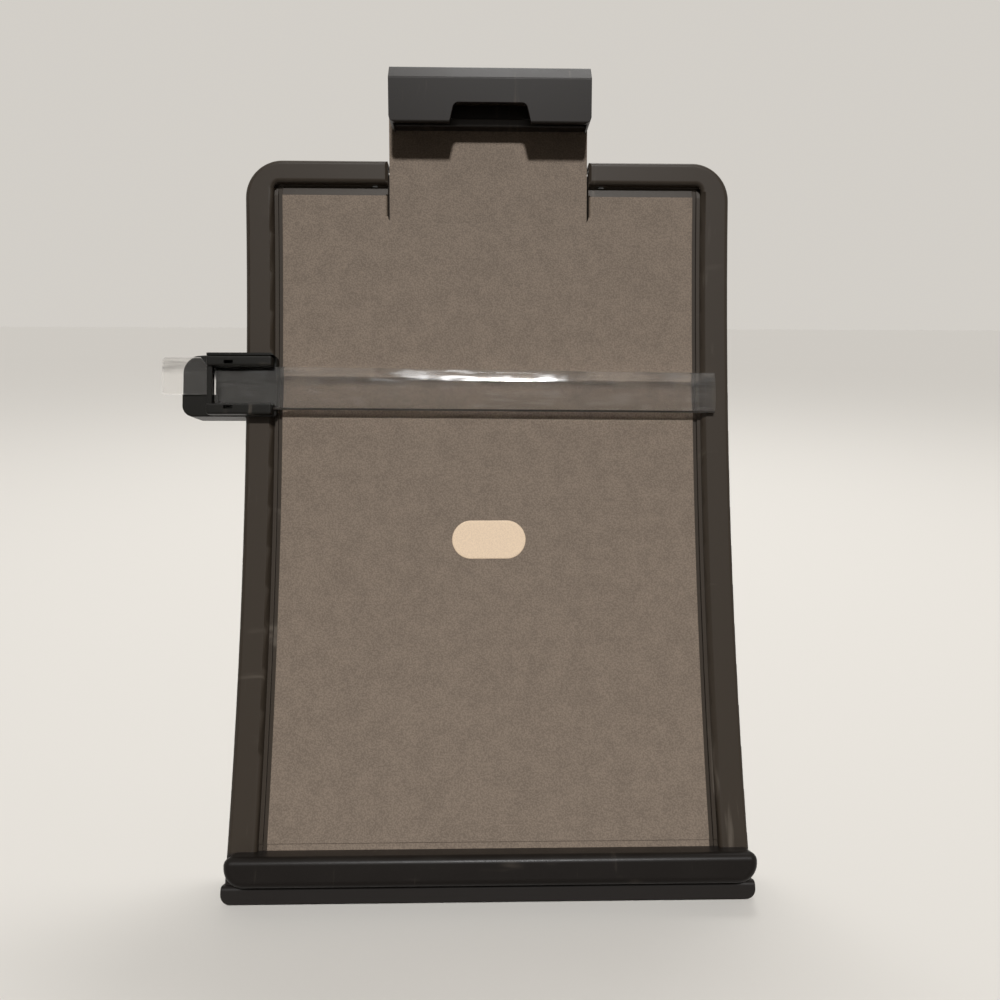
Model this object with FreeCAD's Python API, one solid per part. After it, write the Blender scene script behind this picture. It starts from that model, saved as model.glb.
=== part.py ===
import FreeCAD
import Part

import math
import os

from FreeCAD import Placement, Rotation, Vector

# A desk copy holder: a curved grained board that leans on a folding leg, with a ledge
# for the paper, a plate that slides up and carries a sprung clip, and a line guide that
# travels on the left rail. Millimetres, +X to the viewer's right, the viewer at -Y, +Z up.
# Places on the board are given as x, s and n: s is the arc length up the face from the
# ledge, and n is the height over the face, towards the viewer.

# The board's face
FACE_RADIUS = 1150.0
LEAN_AT_LEDGE = 27.0
SEAT_HEIGHT = 17.0
FACE_LENGTH = 331.0
BOARD_WIDTH = 240.0
BOARD_DEPTH = 9.0
SKIN = 2.4
WALL = 2.2
TOP_CORNER = 18.5
BASE_CORNER = 4.0
BASE_BAR_FRONT = 6.5
BASE_BAR_ROUND = 1.8
BASE_BAR_GAP = 0.3

# The raised rim, the channel inside it and the panel
RIM_HEIGHT = 2.5
RAIL_WIDTH = 13.9
RIM_TOP_WIDTH = 11.2
RIM_ROUND = 2.2
RIM_INNER_CORNER = 3.0
SHELF_WIDTH = 1.8
GROOVE_WIDTH = 2.0
GROOVE_DEPTH = 1.2
TOP_BEVEL = 4.6
SEAT_REBATE = 0.35
REBATE_RISE = 2.8

# The cut-out and the sliding plate
CUTOUT_WIDTH = 100.0
CUTOUT_DEPTH = 30.0
CUTOUT_CORNER = 3.5
CUTOUT_BEVEL = 1.2
PLATE_THICKNESS = 2.2
PLATE_HIDDEN = 60.0
PLATE_CORNER = 6.0
NOTCH_GAP = 0.5
SLIDE_GAP = 0.3
SIDE_GAP = 0.5
GUIDE_RIB = 2.0
RIB_GAP = 0.5
COVER_THICKNESS = 2.0
COVER_MARGIN = 9.0
COVER_TAIL = 10.0
COVER_CORNER = 5.0
COVER_SCREW_IN = 8.0
STIFFENER = 1.6
STIFFENER_DEPTH = 1.4
STIFFENER_MARGIN = 30.0

# The leaf that clicks into the plate: its nose and its screw
DETENT_BELOW_CUTOUT = 33.0
DETENT_SCREW = 15.0
DETENT_HALF = 5.0
DETENT_NOTCH = 2.2
DETENT_WINDOW = (14.0, 16.0)
LEAF = 0.4

# Screws
SCREW_RADIUS = 1.45
SCREW_HEAD_RADIUS = 2.8
SCREW_HEAD = 1.8
SCREW_RECESS_RADIUS = 0.9
HOLE_GAP = 0.05
SEAT_GAP = 0.02
BOSS_RADIUS = 3.5

# The ledge
LEDGE_SHORT = 1.0
LEDGE_OFFSET = 1.1
LEDGE_DEPTH = 14.0
LEDGE_HEIGHT = 13.0
LEDGE_TOP_CORNER = 3.5
LEDGE_END_CORNER = 9.3
LEDGE_ROUND = 3.2
LEDGE_WALL = 2.2
LEDGE_SCREW_IN = 30.0
LEDGE_SCREW = 10.5

# The clip at the head of the plate
CLIP_SIDE_GAP = 0.5
CLIP_OFFSET = 0.8
CLIP_AXIS_ABOVE_EDGE = 35.5
CLIP_AXIS_RISE = 3.0
CLIP_FRONT = 13.0
CLIP_LIP = 21.0
CLIP_BEVEL_DROP = 0.5
CLIP_TOP = 6.6
CLIP_BEVEL_FRONT = 7.6
CLIP_WALL = 1.9
CLIP_BACK = -1.2
CLIP_JAW_DROP = 19.8
CLIP_JAW_HEIGHT = 4.2
CLIP_WALL_LOW = 6.5
CLIP_OPEN_LOW = 8.5
CLIP_JAW_FRONT = 4.2
CLIP_CORNER = 3.0
CLIP_SCOOP_WIDTH = 39.4
CLIP_SCOOP_TOP_WIDTH = 34.8
CLIP_SCOOP_RISE = 9.2
CLIP_SCOOP_CORNER = 2.8
KNUCKLE_WIDTH = 33.6
KNUCKLE_RADIUS = 4.2
CLIP_PIN_RADIUS = 1.5
PAD_THICKNESS = 1.2
PAPER_GAP = 0.3

# The clip's torsion spring
SPRING_WIRE = 1.0
SPRING_COIL_RADIUS = 3.1
SPRING_PITCH = 1.6
SPRING_TURNS = 5
SPRING_START = 21.5
SPRING_LEG = 13.0
SPRING_GROOVE = 1.8
SPRING_BEND = 1.6
SPRING_KNEE = (4.0, 0.9)

# The line guide
GUIDE_AT = 219.0
GUIDE_OUT = 30.4
GUIDE_LAP = 1.9
GUIDE_ABOVE_STRIP = 5.1
GUIDE_BELOW_STRIP = 4.5
GUIDE_FLOOR = 3.8
GUIDE_LOW_CORNER = 5.5
GUIDE_HIGH_CORNER = 8.5
GUIDE_SLOPE_OUT = 16.0
GUIDE_SLOPE_DROP = 1.0
TRAY_WALL = 1.2
TRAY_FRONT = 8.5
GUIDE_BACK = 3.0
GUIDE_GAP = 0.3
FRAME_OUT = 17.0
FRAME_FRONT = 9.0
FRAME_LAP = 1.3
FRAME_END_BAR = 2.4
FRAME_END_LOW = 1.4
FRAME_ROUND = 0.9
FRAME_WINDOW = (4.4, 1.7)
FRAME_WINDOW_OUT = 6.3
FRAME_WINDOW_CLEAR = 0.5
HOOK_WIDTH = 2.4
HOOK_RISE = 4.5
GUIDE_SCREW_OUT = 18.0
GUIDE_SCREW_Y = 8.5
GUIDE_SCREW_SINK = 1.2
GUIDE_SCREW = 10.0

# The bowed leaf that holds the line guide where it is left
BOW_HALF = 10.0
BOW_RISE = 2.6
BOW_WIDTH = 7.0
BOW_GAP = 0.25
BOW_ROOM = 3.5

# The clear strip
STRIP_SHORT = 7.9
STRIP_WIDTH = 21.0
STRIP_TAPER = 1.3
STRIP_THICKNESS = 1.2
STRIP_FACET = 6.6
STRIP_RISE = 1.6
STRIP_TILT = 0.35
STRIP_DROP = 0.9
TAB_OUT = 39.6
TAB_LOW = 4.3
TAB_ABOVE_STRIP = 3.5
TAB_SHOULDER = 3.6
TAB_CORNER = 2.0

# The folding leg and its bracket
LEG_AXIS_SHARE = 0.417
LEG_AXIS_DEPTH = 17.0
LEG_FOOT_Y = 137.0
LEG_TOP_WIDTH = 35.0
LEG_FOOT_WIDTH = 96.0
LEG_PANEL = 2.4
LEG_DEPTH = 8.0
LEG_BARREL = 5.0
LEG_PIN_RADIUS = 2.0
LEG_HEEL = 9.0
LEG_NECK = 9.0
LEG_NECK_ROUND = 12.0
LEG_SOLE = 8.0
LEG_RIBS = (0.36, 0.66)
STOP_GAP = 0.1
LATCH_HALF = 6.0
EAR_THICKNESS = 5.0
EAR_GAP = 0.4
PAD_RISE = 3.0
PAD_MARGIN = 1.0
BRACKET_BASE = 3.0
BRACKET_HALF_HEIGHT = 12.0
BRACKET_MARGIN = 9.0
BRACKET_SCREW_IN = 4.0

# Rubber feet and the sticker
FOOT_THICKNESS = 1.5
FOOT_STRIP_SHORT = 13.0
FOOT_STRIP_DEPTH = 7.0
REAR_FOOT_LENGTH = 24.0
REAR_FOOT_DEPTH = 6.0
LABEL_AT = 143.4
LABEL_LENGTH = 36.2
LABEL_WIDTH = 18.9
LABEL_THICKNESS = 0.2

# Worked out from the sizes above
HALF = BOARD_WIDTH / 2
LEG_AXIS_AT = round(FACE_LENGTH * LEG_AXIS_SHARE)
RAIL_INSIDE = HALF - RAIL_WIDTH
GROOVE_OUTSIDE = RAIL_INSIDE - SHELF_WIDTH
PANEL_HALF = GROOVE_OUTSIDE - GROOVE_WIDTH
RIM_BOTTOM = FACE_LENGTH - RIM_TOP_WIDTH
LEDGE_LENGTH = BOARD_WIDTH - 2 * LEDGE_SHORT
BASE_WALL = SKIN
CENTRE_Z = SEAT_HEIGHT + FACE_RADIUS * math.sin(math.radians(LEAN_AT_LEDGE))
FOOT_MIDDLE = -BOARD_DEPTH / 2
FOOT_LEAN = math.asin((CENTRE_Z - FOOT_THICKNESS) / (FACE_RADIUS - FOOT_MIDDLE))
CENTRE_Y = -(FACE_RADIUS - FOOT_MIDDLE) * math.cos(FOOT_LEAN)
BELOW = -40.0
CUTOUT_BOTTOM = FACE_LENGTH - CUTOUT_DEPTH
DETENT_AT = CUTOUT_BOTTOM - DETENT_BELOW_CUTOUT
CLIP_AXIS_AT = FACE_LENGTH + CLIP_AXIS_ABOVE_EDGE
CLIP_WIDTH = CUTOUT_WIDTH - 2 * (CLIP_OFFSET + CLIP_SIDE_GAP)
PLATE_TRAVEL = CLIP_AXIS_AT - CLIP_LIP - CUTOUT_BOTTOM - NOTCH_GAP
PLATE_FRONT = -SKIN - SLIDE_GAP
PLATE_BACK = PLATE_FRONT - PLATE_THICKNESS
PLATE_HALF = CUTOUT_WIDTH / 2 - SIDE_GAP
PLATE_BOTTOM = CUTOUT_BOTTOM - PLATE_HIDDEN
COVER_FRONT = PLATE_BACK - SLIDE_GAP
COVER_BACK = COVER_FRONT - COVER_THICKNESS
RIB_INSIDE = PLATE_HALF + RIB_GAP
COVER_HALF = RIB_INSIDE + GUIDE_RIB + COVER_MARGIN
COVER_BOTTOM = PLATE_BOTTOM - PLATE_TRAVEL - COVER_TAIL
COVER_TOP = FACE_LENGTH - WALL - 2.0
COVER_SCREW_X = RIB_INSIDE + GUIDE_RIB + COVER_MARGIN / 2
STRIP_BED = GUIDE_FLOOR + 0.1
STRIP_EDGE = STRIP_BED + STRIP_THICKNESS
STRIP_TOP = STRIP_EDGE + STRIP_RISE
GUIDE_SCREW_X = HALF + GUIDE_SCREW_OUT
GUIDE_OUTER = HALF + GUIDE_OUT
GUIDE_INNER = RAIL_INSIDE - GUIDE_LAP
GUIDE_SLOPE_START = HALF + GUIDE_SLOPE_OUT
GUIDE_TOP = STRIP_WIDTH / 2 + GUIDE_ABOVE_STRIP
GUIDE_BOTTOM = STRIP_WIDTH / 2 + GUIDE_BELOW_STRIP
FRAME_LEFT = HALF + FRAME_OUT
FRAME_BAR = STRIP_WIDTH / 2 - FRAME_LAP
FRAME_WINDOW_X = HALF + FRAME_WINDOW_OUT
FRAME_WINDOW_Y = STRIP_WIDTH / 2 + FRAME_WINDOW_CLEAR
STRIP_END = HALF - STRIP_SHORT
TAB_END = HALF + TAB_OUT
TAB_HIGH = STRIP_WIDTH / 2 + TAB_ABOVE_STRIP


def lean(s):
    """Angle of the face from the vertical at arc length s, in radians."""
    return math.radians(LEAN_AT_LEDGE) - s / FACE_RADIUS


def on_face(x, s, n):
    """Point at x, arc length s and height n over the face."""
    radius = FACE_RADIUS - n
    return Vector(x, CENTRE_Y + radius * math.cos(lean(s)), CENTRE_Z - radius * math.sin(lean(s)))


def frame_at(s):
    """Placement whose X is the board's X, Y points up the face and Z out of it."""
    return Placement(on_face(0, s, 0), Rotation(Vector(1, 0, 0), 90 - math.degrees(lean(s))))


def clip_place():
    """Frame on the clip's hinge, which sits a little off the board's middle."""
    return Placement(Vector(CLIP_OFFSET, 0, 0), Rotation()).multiply(frame_at(CLIP_AXIS_AT))


def put(shape, placement):
    """A copy of a shape drawn in a local frame, moved to its place."""
    moved = shape.copy()
    moved.Placement = placement.multiply(moved.Placement)
    return moved


def swept(points, s0, s1):
    """Solid of a closed section of (x, n) points carried up the face from s0 to s1."""
    section = Part.makePolygon([on_face(x, s0, n) for x, n in points + points[:1]])
    angle = math.degrees((s1 - s0) / FACE_RADIUS)
    return Part.Face(section).revolve(Vector(0, CENTRE_Y, CENTRE_Z), Vector(1, 0, 0), angle)


def slab(x0, x1, s0, s1, n0, n1):
    """Curved block that follows the face."""
    return swept([(x0, n0), (x1, n0), (x1, n1), (x0, n1)], s0, s1)


def rounded_wire(corners):
    """Closed wire through (x, y, radius) corners, each rounded by its radius."""
    edges = []
    starts = []
    ends = []
    for i, (x, y, radius) in enumerate(corners):
        here = Vector(x, y, 0)
        before = Vector(*corners[i - 1][:2], 0) - here
        after = Vector(*corners[(i + 1) % len(corners)][:2], 0) - here
        before.normalize()
        after.normalize()
        if radius == 0:
            starts.append(here)
            ends.append(here)
            edges.append(None)
            continue
        half = before.getAngle(after) / 2
        reach = radius / math.tan(half)
        middle = before + after
        middle.normalize()
        centre = here + middle * (radius / math.sin(half))
        start = here + before * reach
        end = here + after * reach
        starts.append(start)
        ends.append(end)
        edges.append(Part.Arc(start, centre - middle * radius, end).toShape())
    wire = []
    for i, corner in enumerate(edges):
        if corner is not None:
            wire.append(corner)
        following = starts[(i + 1) % len(starts)]
        if ends[i].distanceToPoint(following) > 1e-6:
            wire.append(Part.makeLine(ends[i], following))
    return Part.Wire(wire)


def prism(corners, z0, z1):
    """Straight solid of a rounded outline, from height z0 to z1 of its own frame."""
    face = Part.Face(rounded_wire(corners))
    face.translate(Vector(0, 0, z0))
    return face.extrude(Vector(0, 0, z1 - z0))


def box(x0, x1, y0, y1, z0, z1):
    return Part.makeBox(x1 - x0, y1 - y0, z1 - z0, Vector(x0, y0, z0))


def along_x(corners, x0, x1):
    """Solid of a rounded (y, n) section carried along X in a local frame."""
    upright = Rotation(Vector(0, 1, 0), Vector(0, 0, 1), Vector(1, 0, 0), "XYZ")
    solid = prism(corners, 0, x1 - x0)
    solid.Placement = Placement(Vector(x0, 0, 0), upright)
    return solid


def rod_x(y, n, radius, x0, x1):
    return Part.makeCylinder(radius, x1 - x0, Vector(x0, y, n), Vector(1, 0, 0))


def joined(shapes):
    solid = shapes[0]
    for shape in shapes[1:]:
        solid = solid.fuse(shape)
    return solid.removeSplitter()


def screw(length, head_radius=SCREW_HEAD_RADIUS):
    """Pan head screw, its head's seat at the local origin and its shank along +Z."""
    shank = Part.makeCylinder(SCREW_RADIUS, length)
    head = Part.makeCylinder(head_radius, SCREW_HEAD, Vector(0, 0, -SCREW_HEAD))
    rim = [edge for edge in head.Edges if edge.BoundBox.ZMax < -SCREW_HEAD + 0.01]
    head = head.makeFillet(SCREW_HEAD / 3, rim[:1])
    recess = Part.makeCone(SCREW_RECESS_RADIUS, 0.3, SCREW_HEAD * 0.7, Vector(0, 0, -SCREW_HEAD))
    slots = joined([
        box(-1.6, 1.6, -0.35, 0.35, -SCREW_HEAD, -SCREW_HEAD / 2),
        box(-0.35, 0.35, -1.6, 1.6, -SCREW_HEAD, -SCREW_HEAD / 2),
    ])
    return joined([shank, head]).cut(recess).cut(slots)


def save(name, shape):
    solids = shape.Solids
    if not solids or not shape.isValid():
        raise RuntimeError(f"{name} is not a valid solid")
    result = solids[0] if len(solids) == 1 else Part.makeCompound(solids)
    result.exportStep(f"parts/{name}.step")
    size = result.optimalBoundingBox(False)
    print(f"{name:22s} solids {len(solids)}  volume {result.Volume:10.1f}  "
          f"x {size.XMin:7.1f} {size.XMax:7.1f}  y {size.YMin:7.1f} {size.YMax:7.1f}  "
          f"z {size.ZMin:7.1f} {size.ZMax:7.1f}")


def outline(inset, inner_top=None, corner=TOP_CORNER):
    """Front outline of the board, set in by a distance, as a prism deep enough to hold
    the whole curve: an arc falls away from its tangent by its length squared over twice
    its radius."""
    top = -inset if inner_top is None else inner_top
    half = HALF - inset
    low = -FACE_LENGTH + BELOW
    corners = [(-half, low, 0), (half, low, 0), (half, top, corner), (-half, top, corner)]
    depth = low ** 2 / (2 * FACE_RADIUS) + 2 * BOARD_DEPTH
    return put(prism(corners, -depth, depth), frame_at(FACE_LENGTH))


def rim_edges(solid):
    """The rim's long edges at its full height, without those of its cut lower ends."""
    found = []
    for edge in solid.Edges:
        middle = edge.valueAt((edge.FirstParameter + edge.LastParameter) / 2)
        points = [vertex.Point for vertex in edge.Vertexes] + [middle]
        heights = [FACE_RADIUS - math.hypot(p.y - CENTRE_Y, p.z - CENTRE_Z) for p in points]
        at_top = all(abs(height - RIM_HEIGHT) < 1e-3 for height in heights)
        if at_top and max(p.z for p in points) > SEAT_HEIGHT:
            found.append(edge)
    return found


def cover_screw_places():
    middle = (COVER_BOTTOM + COVER_TOP) / 2
    places = (COVER_BOTTOM + COVER_SCREW_IN, middle, COVER_TOP - COVER_SCREW_IN)
    return [(side * COVER_SCREW_X, s) for side in (-1, 1) for s in places]


def bracket_screw_places():
    x = LEG_TOP_WIDTH / 2 + EAR_GAP + EAR_THICKNESS + BRACKET_MARGIN / 2
    reach = BRACKET_HALF_HEIGHT - BRACKET_SCREW_IN
    return [(side * x, end * reach) for side in (-1, 1) for end in (-1, 1)]


def ledge_screw_places():
    return [LEDGE_SCREW_IN - HALF, 0, HALF - LEDGE_SCREW_IN]


def board_shell():
    inner_corner = RIM_INNER_CORNER
    outer = outline(0)
    skin = slab(-HALF, HALF, BELOW, FACE_LENGTH + 2, -SKIN, 0).common(outer)
    inside = outline(RAIL_WIDTH, -RIM_TOP_WIDTH, inner_corner)
    rim = slab(-HALF, HALF, BELOW, FACE_LENGTH + 2, -SKIN, RIM_HEIGHT).common(outer).cut(inside)
    rim = rim.makeFillet(RIM_ROUND, rim_edges(rim))
    hollow = outline(WALL, None, TOP_CORNER - WALL)
    flange = slab(-HALF, HALF, BELOW, FACE_LENGTH + 2, -BOARD_DEPTH, -SKIN / 2).common(outer).cut(hollow)
    under_rim = slab(-HALF, HALF, BELOW, FACE_LENGTH, -SKIN - 1, RIM_HEIGHT - SKIN).common(hollow)
    under_rim = under_rim.cut(outline(RAIL_WIDTH - WALL, -RIM_TOP_WIDTH + WALL, inner_corner))
    base = slab(-HALF, HALF, BELOW, 10, -BOARD_DEPTH, -SKIN / 2)
    base = base.common(box(-HALF, HALF, -80, 80, FOOT_THICKNESS, FOOT_THICKNESS + BASE_WALL))
    shell = joined([skin, rim, flange]).cut(under_rim)

    rib_low = COVER_BOTTOM + 1
    parts = [shell, base]
    for side in (-1, 1):
        x0, x1 = sorted((side * RIB_INSIDE, side * (RIB_INSIDE + GUIDE_RIB)))
        parts.append(slab(x0, x1, rib_low, COVER_TOP, COVER_FRONT, -SKIN / 2))
    for x, s in cover_screw_places():
        boss = Part.makeCylinder(BOSS_RADIUS, -COVER_FRONT - SKIN / 2, Vector(x, 0, COVER_FRONT))
        parts.append(put(boss, frame_at(s)))
    pad_half = LEG_TOP_WIDTH / 2 + EAR_GAP + EAR_THICKNESS + BRACKET_MARGIN + PAD_MARGIN
    pad_reach = BRACKET_HALF_HEIGHT + PAD_MARGIN
    pad = box(-pad_half, pad_half, -pad_reach, pad_reach, -SKIN - PAD_RISE, -SKIN / 2)
    parts.append(put(pad, frame_at(LEG_AXIS_AT)))
    bar_top = -LEDGE_HEIGHT - BASE_BAR_GAP
    bar = [(bar_top, -SKIN / 2, 0), (BELOW, -SKIN / 2, 0), (BELOW, BASE_BAR_FRONT, 0),
           (bar_top, BASE_BAR_FRONT, BASE_BAR_ROUND)]
    parts.append(put(along_x(bar, -HALF, HALF), frame_at(0)))
    shell = joined(parts)

    # The channel round the panel: a groove at each side and a long bevel along the top
    cuts = []
    for side in (-1, 1):
        x0, x1 = sorted((side * PANEL_HALF, side * GROOVE_OUTSIDE))
        cuts.append(slab(x0, x1, BELOW, RIM_BOTTOM - 1, -GROOVE_DEPTH, 1))
    bevel_low = RIM_BOTTOM - 0.6 - TOP_BEVEL
    wedge = [(0, 0, 0), (TOP_BEVEL, -GROOVE_DEPTH, 0), (TOP_BEVEL + 0.6, -GROOVE_DEPTH, 0),
             (TOP_BEVEL + 0.6, 1, 0), (0, 1, 0)]
    cuts.append(put(along_x(wedge, -RAIL_INSIDE, RAIL_INSIDE), frame_at(bevel_low)))

    # The cut-out for the plate, with its sides bevelled at the rim and at the panel
    half = CUTOUT_WIDTH / 2
    low = -CUTOUT_DEPTH
    opening = [(-half, low, CUTOUT_CORNER), (half, low, CUTOUT_CORNER), (half, 20, 0), (-half, 20, 0)]
    cuts.append(put(prism(opening, COVER_BACK - 0.3, 10), frame_at(FACE_LENGTH)))
    for side in (-1, 1):
        for top, foot in ((RIM_HEIGHT, RIM_BOTTOM + 1), (0, CUTOUT_BOTTOM + CUTOUT_CORNER)):
            section = [(side * (half - 0.1), top - CUTOUT_BEVEL), (side * (half + CUTOUT_BEVEL), top + 0.1),
                       (side * (half - 0.1), top + 0.1)]
            until = FACE_LENGTH + 1 if top else RIM_BOTTOM - TOP_BEVEL
            cuts.append(swept(section, foot, until))

    # The shallow rebate that the ledge sits in, and the holes for the screws
    rebate_low = -LEDGE_HEIGHT - BASE_BAR_GAP / 2
    cuts.append(slab(-RAIL_INSIDE, RAIL_INSIDE, rebate_low, REBATE_RISE, -SEAT_REBATE, 0.5))
    for x in ledge_screw_places():
        hole = Part.makeCylinder(SCREW_RADIUS + HOLE_GAP, 20, Vector(x, -LEDGE_HEIGHT / 2, -10))
        cuts.append(put(hole, frame_at(0)))
    for x, s in cover_screw_places():
        hole = Part.makeCylinder(SCREW_RADIUS + HOLE_GAP, 10, Vector(x, 0, -SKIN / 2 - 10))
        cuts.append(put(hole, frame_at(s)))
    for x, y in bracket_screw_places():
        hole = Part.makeCylinder(SCREW_RADIUS + HOLE_GAP, 10, Vector(x, y, -SKIN / 2 - 10))
        cuts.append(put(hole, frame_at(LEG_AXIS_AT)))
    for cut in cuts:
        shell = shell.cut(cut)

    # The lower end: cut level over the foot strip, with rounded corners
    front = [(-HALF, FOOT_THICKNESS, BASE_CORNER), (HALF, FOOT_THICKNESS, BASE_CORNER),
             (HALF, 500, 0), (-HALF, 500, 0)]
    level = prism(front, -200, 200)
    level.Placement = Placement(Vector(0, 0, 0), Rotation(Vector(1, 0, 0), 90))
    return shell.common(level).removeSplitter()


def foot_strip():
    half = HALF - FOOT_STRIP_SHORT
    depth = FOOT_STRIP_DEPTH / 2
    corners = [(-half, -depth, 2), (half, -depth, 2), (half, depth, 2), (-half, depth, 2)]
    return prism(corners, 0, FOOT_THICKNESS)


def ledge():
    half = LEDGE_LENGTH / 2
    left = LEDGE_OFFSET - half
    right = LEDGE_OFFSET + half
    front = [(left, -LEDGE_HEIGHT, LEDGE_END_CORNER), (right, -LEDGE_HEIGHT, LEDGE_END_CORNER),
             (right, 0, LEDGE_TOP_CORNER), (left, 0, LEDGE_TOP_CORNER)]
    solid = prism(front, -SEAT_REBATE - 1, LEDGE_DEPTH)
    rim = [edge for edge in solid.Edges if edge.BoundBox.ZMin > LEDGE_DEPTH - 0.01]
    solid = solid.makeFillet(LEDGE_ROUND, rim)
    room = half - LEDGE_END_CORNER
    cavity = box(LEDGE_OFFSET - room, LEDGE_OFFSET + room, -LEDGE_HEIGHT + LEDGE_WALL, -LEDGE_WALL,
                 -5, LEDGE_DEPTH - LEDGE_WALL)
    parts = [solid.cut(cavity)]
    for x in ledge_screw_places():
        parts.append(Part.makeCylinder(BOSS_RADIUS, LEDGE_DEPTH - 1, Vector(x, -LEDGE_HEIGHT / 2, 0)))
    solid = joined(parts)
    solid = put(solid, frame_at(0))
    for x in ledge_screw_places():
        hole = Part.makeCylinder(SCREW_RADIUS + HOLE_GAP, 14, Vector(x, -LEDGE_HEIGHT / 2, -5))
        solid = solid.cut(put(hole, frame_at(0)))
    solid = solid.cut(slab(-HALF - 2, HALF + 2, BELOW, 20, -20, -SEAT_REBATE + SEAT_GAP))
    for side in (-1, 1):
        x0, x1 = sorted((side * (RAIL_INSIDE - 0.1), side * (HALF + 2)))
        solid = solid.cut(slab(x0, x1, BELOW, 20, -20, RIM_HEIGHT + SEAT_GAP))
    return solid


def ledge_screws():
    seat = -SKIN - HOLE_GAP
    places = [Placement(Vector(x, -LEDGE_HEIGHT / 2, seat), Rotation()) for x in ledge_screw_places()]
    return Part.makeCompound([put(screw(LEDGE_SCREW), frame_at(0).multiply(place)) for place in places])


def guide_cover():
    cover = slab(-COVER_HALF, COVER_HALF, COVER_BOTTOM, COVER_TOP, COVER_BACK, COVER_FRONT)
    middle = (COVER_BOTTOM + COVER_TOP) / 2
    low = COVER_BOTTOM - middle
    high = COVER_TOP - middle
    corners = [(-COVER_HALF, low, COVER_CORNER), (COVER_HALF, low, COVER_CORNER),
               (COVER_HALF, high, COVER_CORNER), (-COVER_HALF, high, COVER_CORNER)]
    cover = cover.common(put(prism(corners, -60, 60), frame_at(middle)))

    # Two bars across the back joined by three bars along it, below the detent's window
    half = STIFFENER / 2
    bar_back = COVER_BACK - STIFFENER_DEPTH
    bar_front = COVER_BACK + 0.5
    s0 = COVER_BOTTOM + STIFFENER_MARGIN
    s1 = DETENT_AT - DETENT_WINDOW[1] / 2 - 10
    reach = COVER_HALF / 2 + half
    parts = [cover]
    for x in (-COVER_HALF / 2, 0, COVER_HALF / 2):
        parts.append(slab(x - half, x + half, s0, s1, bar_back, bar_front))
    for s in (s0, s1):
        parts.append(slab(-reach, reach, s - half, s + half, bar_back, bar_front))
    cover = joined(parts)
    for x, s in cover_screw_places():
        hole = Part.makeCylinder(SCREW_RADIUS + HOLE_GAP, 10, Vector(x, 0, COVER_BACK - 5))
        cover = cover.cut(put(hole, frame_at(s)))
    wide, tall = DETENT_WINDOW[0] / 2, DETENT_WINDOW[1] / 2
    corners = [(-wide, -tall, 2), (wide, -tall, 2), (wide, tall, 2), (-wide, tall, 2)]
    window = prism(corners, COVER_BACK - 3, COVER_FRONT + 1)
    cover = cover.cut(put(window, frame_at(DETENT_AT)))
    hole = Part.makeCylinder(SCREW_RADIUS + HOLE_GAP, 10, Vector(0, DETENT_SCREW, COVER_BACK - 5))
    return cover.cut(put(hole, frame_at(DETENT_AT)))


def guide_cover_screws():
    length = -COVER_BACK - SKIN / 2 - 0.4
    screws = []
    for x, s in cover_screw_places():
        place = Placement(Vector(x, 0, COVER_BACK - HOLE_GAP), Rotation())
        screws.append(put(screw(length), frame_at(s).multiply(place)))
    return Part.makeCompound(screws)


def leaf_section(points, thickness):
    """Thin strip of even thickness through (y, n) points, offset to the far side of n."""
    back = [(y, n - thickness, 0) for y, n in reversed(points)]
    return [(y, n, 0) for y, n in points] + back


def plate_detent_spring():
    seat = COVER_BACK - 0.05
    nose = PLATE_BACK - 0.15
    path = [(DETENT_SCREW + 5, seat), (7, seat), (3, nose - 0.6), (0.8, nose), (-0.8, nose),
            (-3, nose - 0.6), (-7.5, seat - 0.4)]
    leaf = along_x(leaf_section(path, LEAF), -DETENT_HALF, DETENT_HALF)
    hole = Part.makeCylinder(SCREW_RADIUS + HOLE_GAP, 10, Vector(0, DETENT_SCREW, COVER_BACK - 5))
    return put(leaf.cut(hole), frame_at(DETENT_AT))


def detent_screw():
    seat = COVER_BACK - LEAF - 0.1
    place = Placement(Vector(0, DETENT_SCREW, seat), Rotation())
    return put(screw(COVER_THICKNESS + LEAF), frame_at(DETENT_AT).multiply(place))


def extension_plate():
    """The sliding plate with its knuckle for the clip's pin."""
    head = CLIP_AXIS_AT - 2.5
    plate = slab(-PLATE_HALF, PLATE_HALF, PLATE_BOTTOM, head, PLATE_BACK, PLATE_FRONT)
    rounding = [(-PLATE_HALF, 0, PLATE_CORNER), (PLATE_HALF, 0, PLATE_CORNER), (PLATE_HALF, 200, 0),
                (-PLATE_HALF, 200, 0)]
    plate = plate.common(put(prism(rounding, -60, 60), frame_at(PLATE_BOTTOM)))
    half = KNUCKLE_WIDTH / 2
    neck = box(-half, half, -KNUCKLE_RADIUS, 1, PLATE_BACK, CLIP_AXIS_RISE)
    barrel = rod_x(0, CLIP_AXIS_RISE, KNUCKLE_RADIUS, -half, half)
    knuckle = joined([neck, barrel]).cut(rod_x(0, CLIP_AXIS_RISE, CLIP_PIN_RADIUS + HOLE_GAP, -half, half))
    groove = box(SPRING_START - SPRING_GROOVE / 2, SPRING_START + SPRING_GROOVE / 2, -SPRING_LEG, 1,
                 PLATE_BACK - 1, PLATE_BACK + SPRING_WIRE + 0.3)
    solid = joined([plate, put(knuckle, clip_place())]).cut(put(groove, clip_place()))
    for step in (0, PLATE_TRAVEL):
        mouth = PLATE_BACK - 0.1
        floor = PLATE_BACK + 0.7
        notch = [(-DETENT_NOTCH, mouth, 0), (-0.9, floor, 0), (0.9, floor, 0), (DETENT_NOTCH, mouth, 0)]
        cut = along_x(notch, -DETENT_HALF - 1, DETENT_HALF + 1)
        solid = solid.cut(put(cut, frame_at(DETENT_AT + step)))
    return solid


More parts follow.
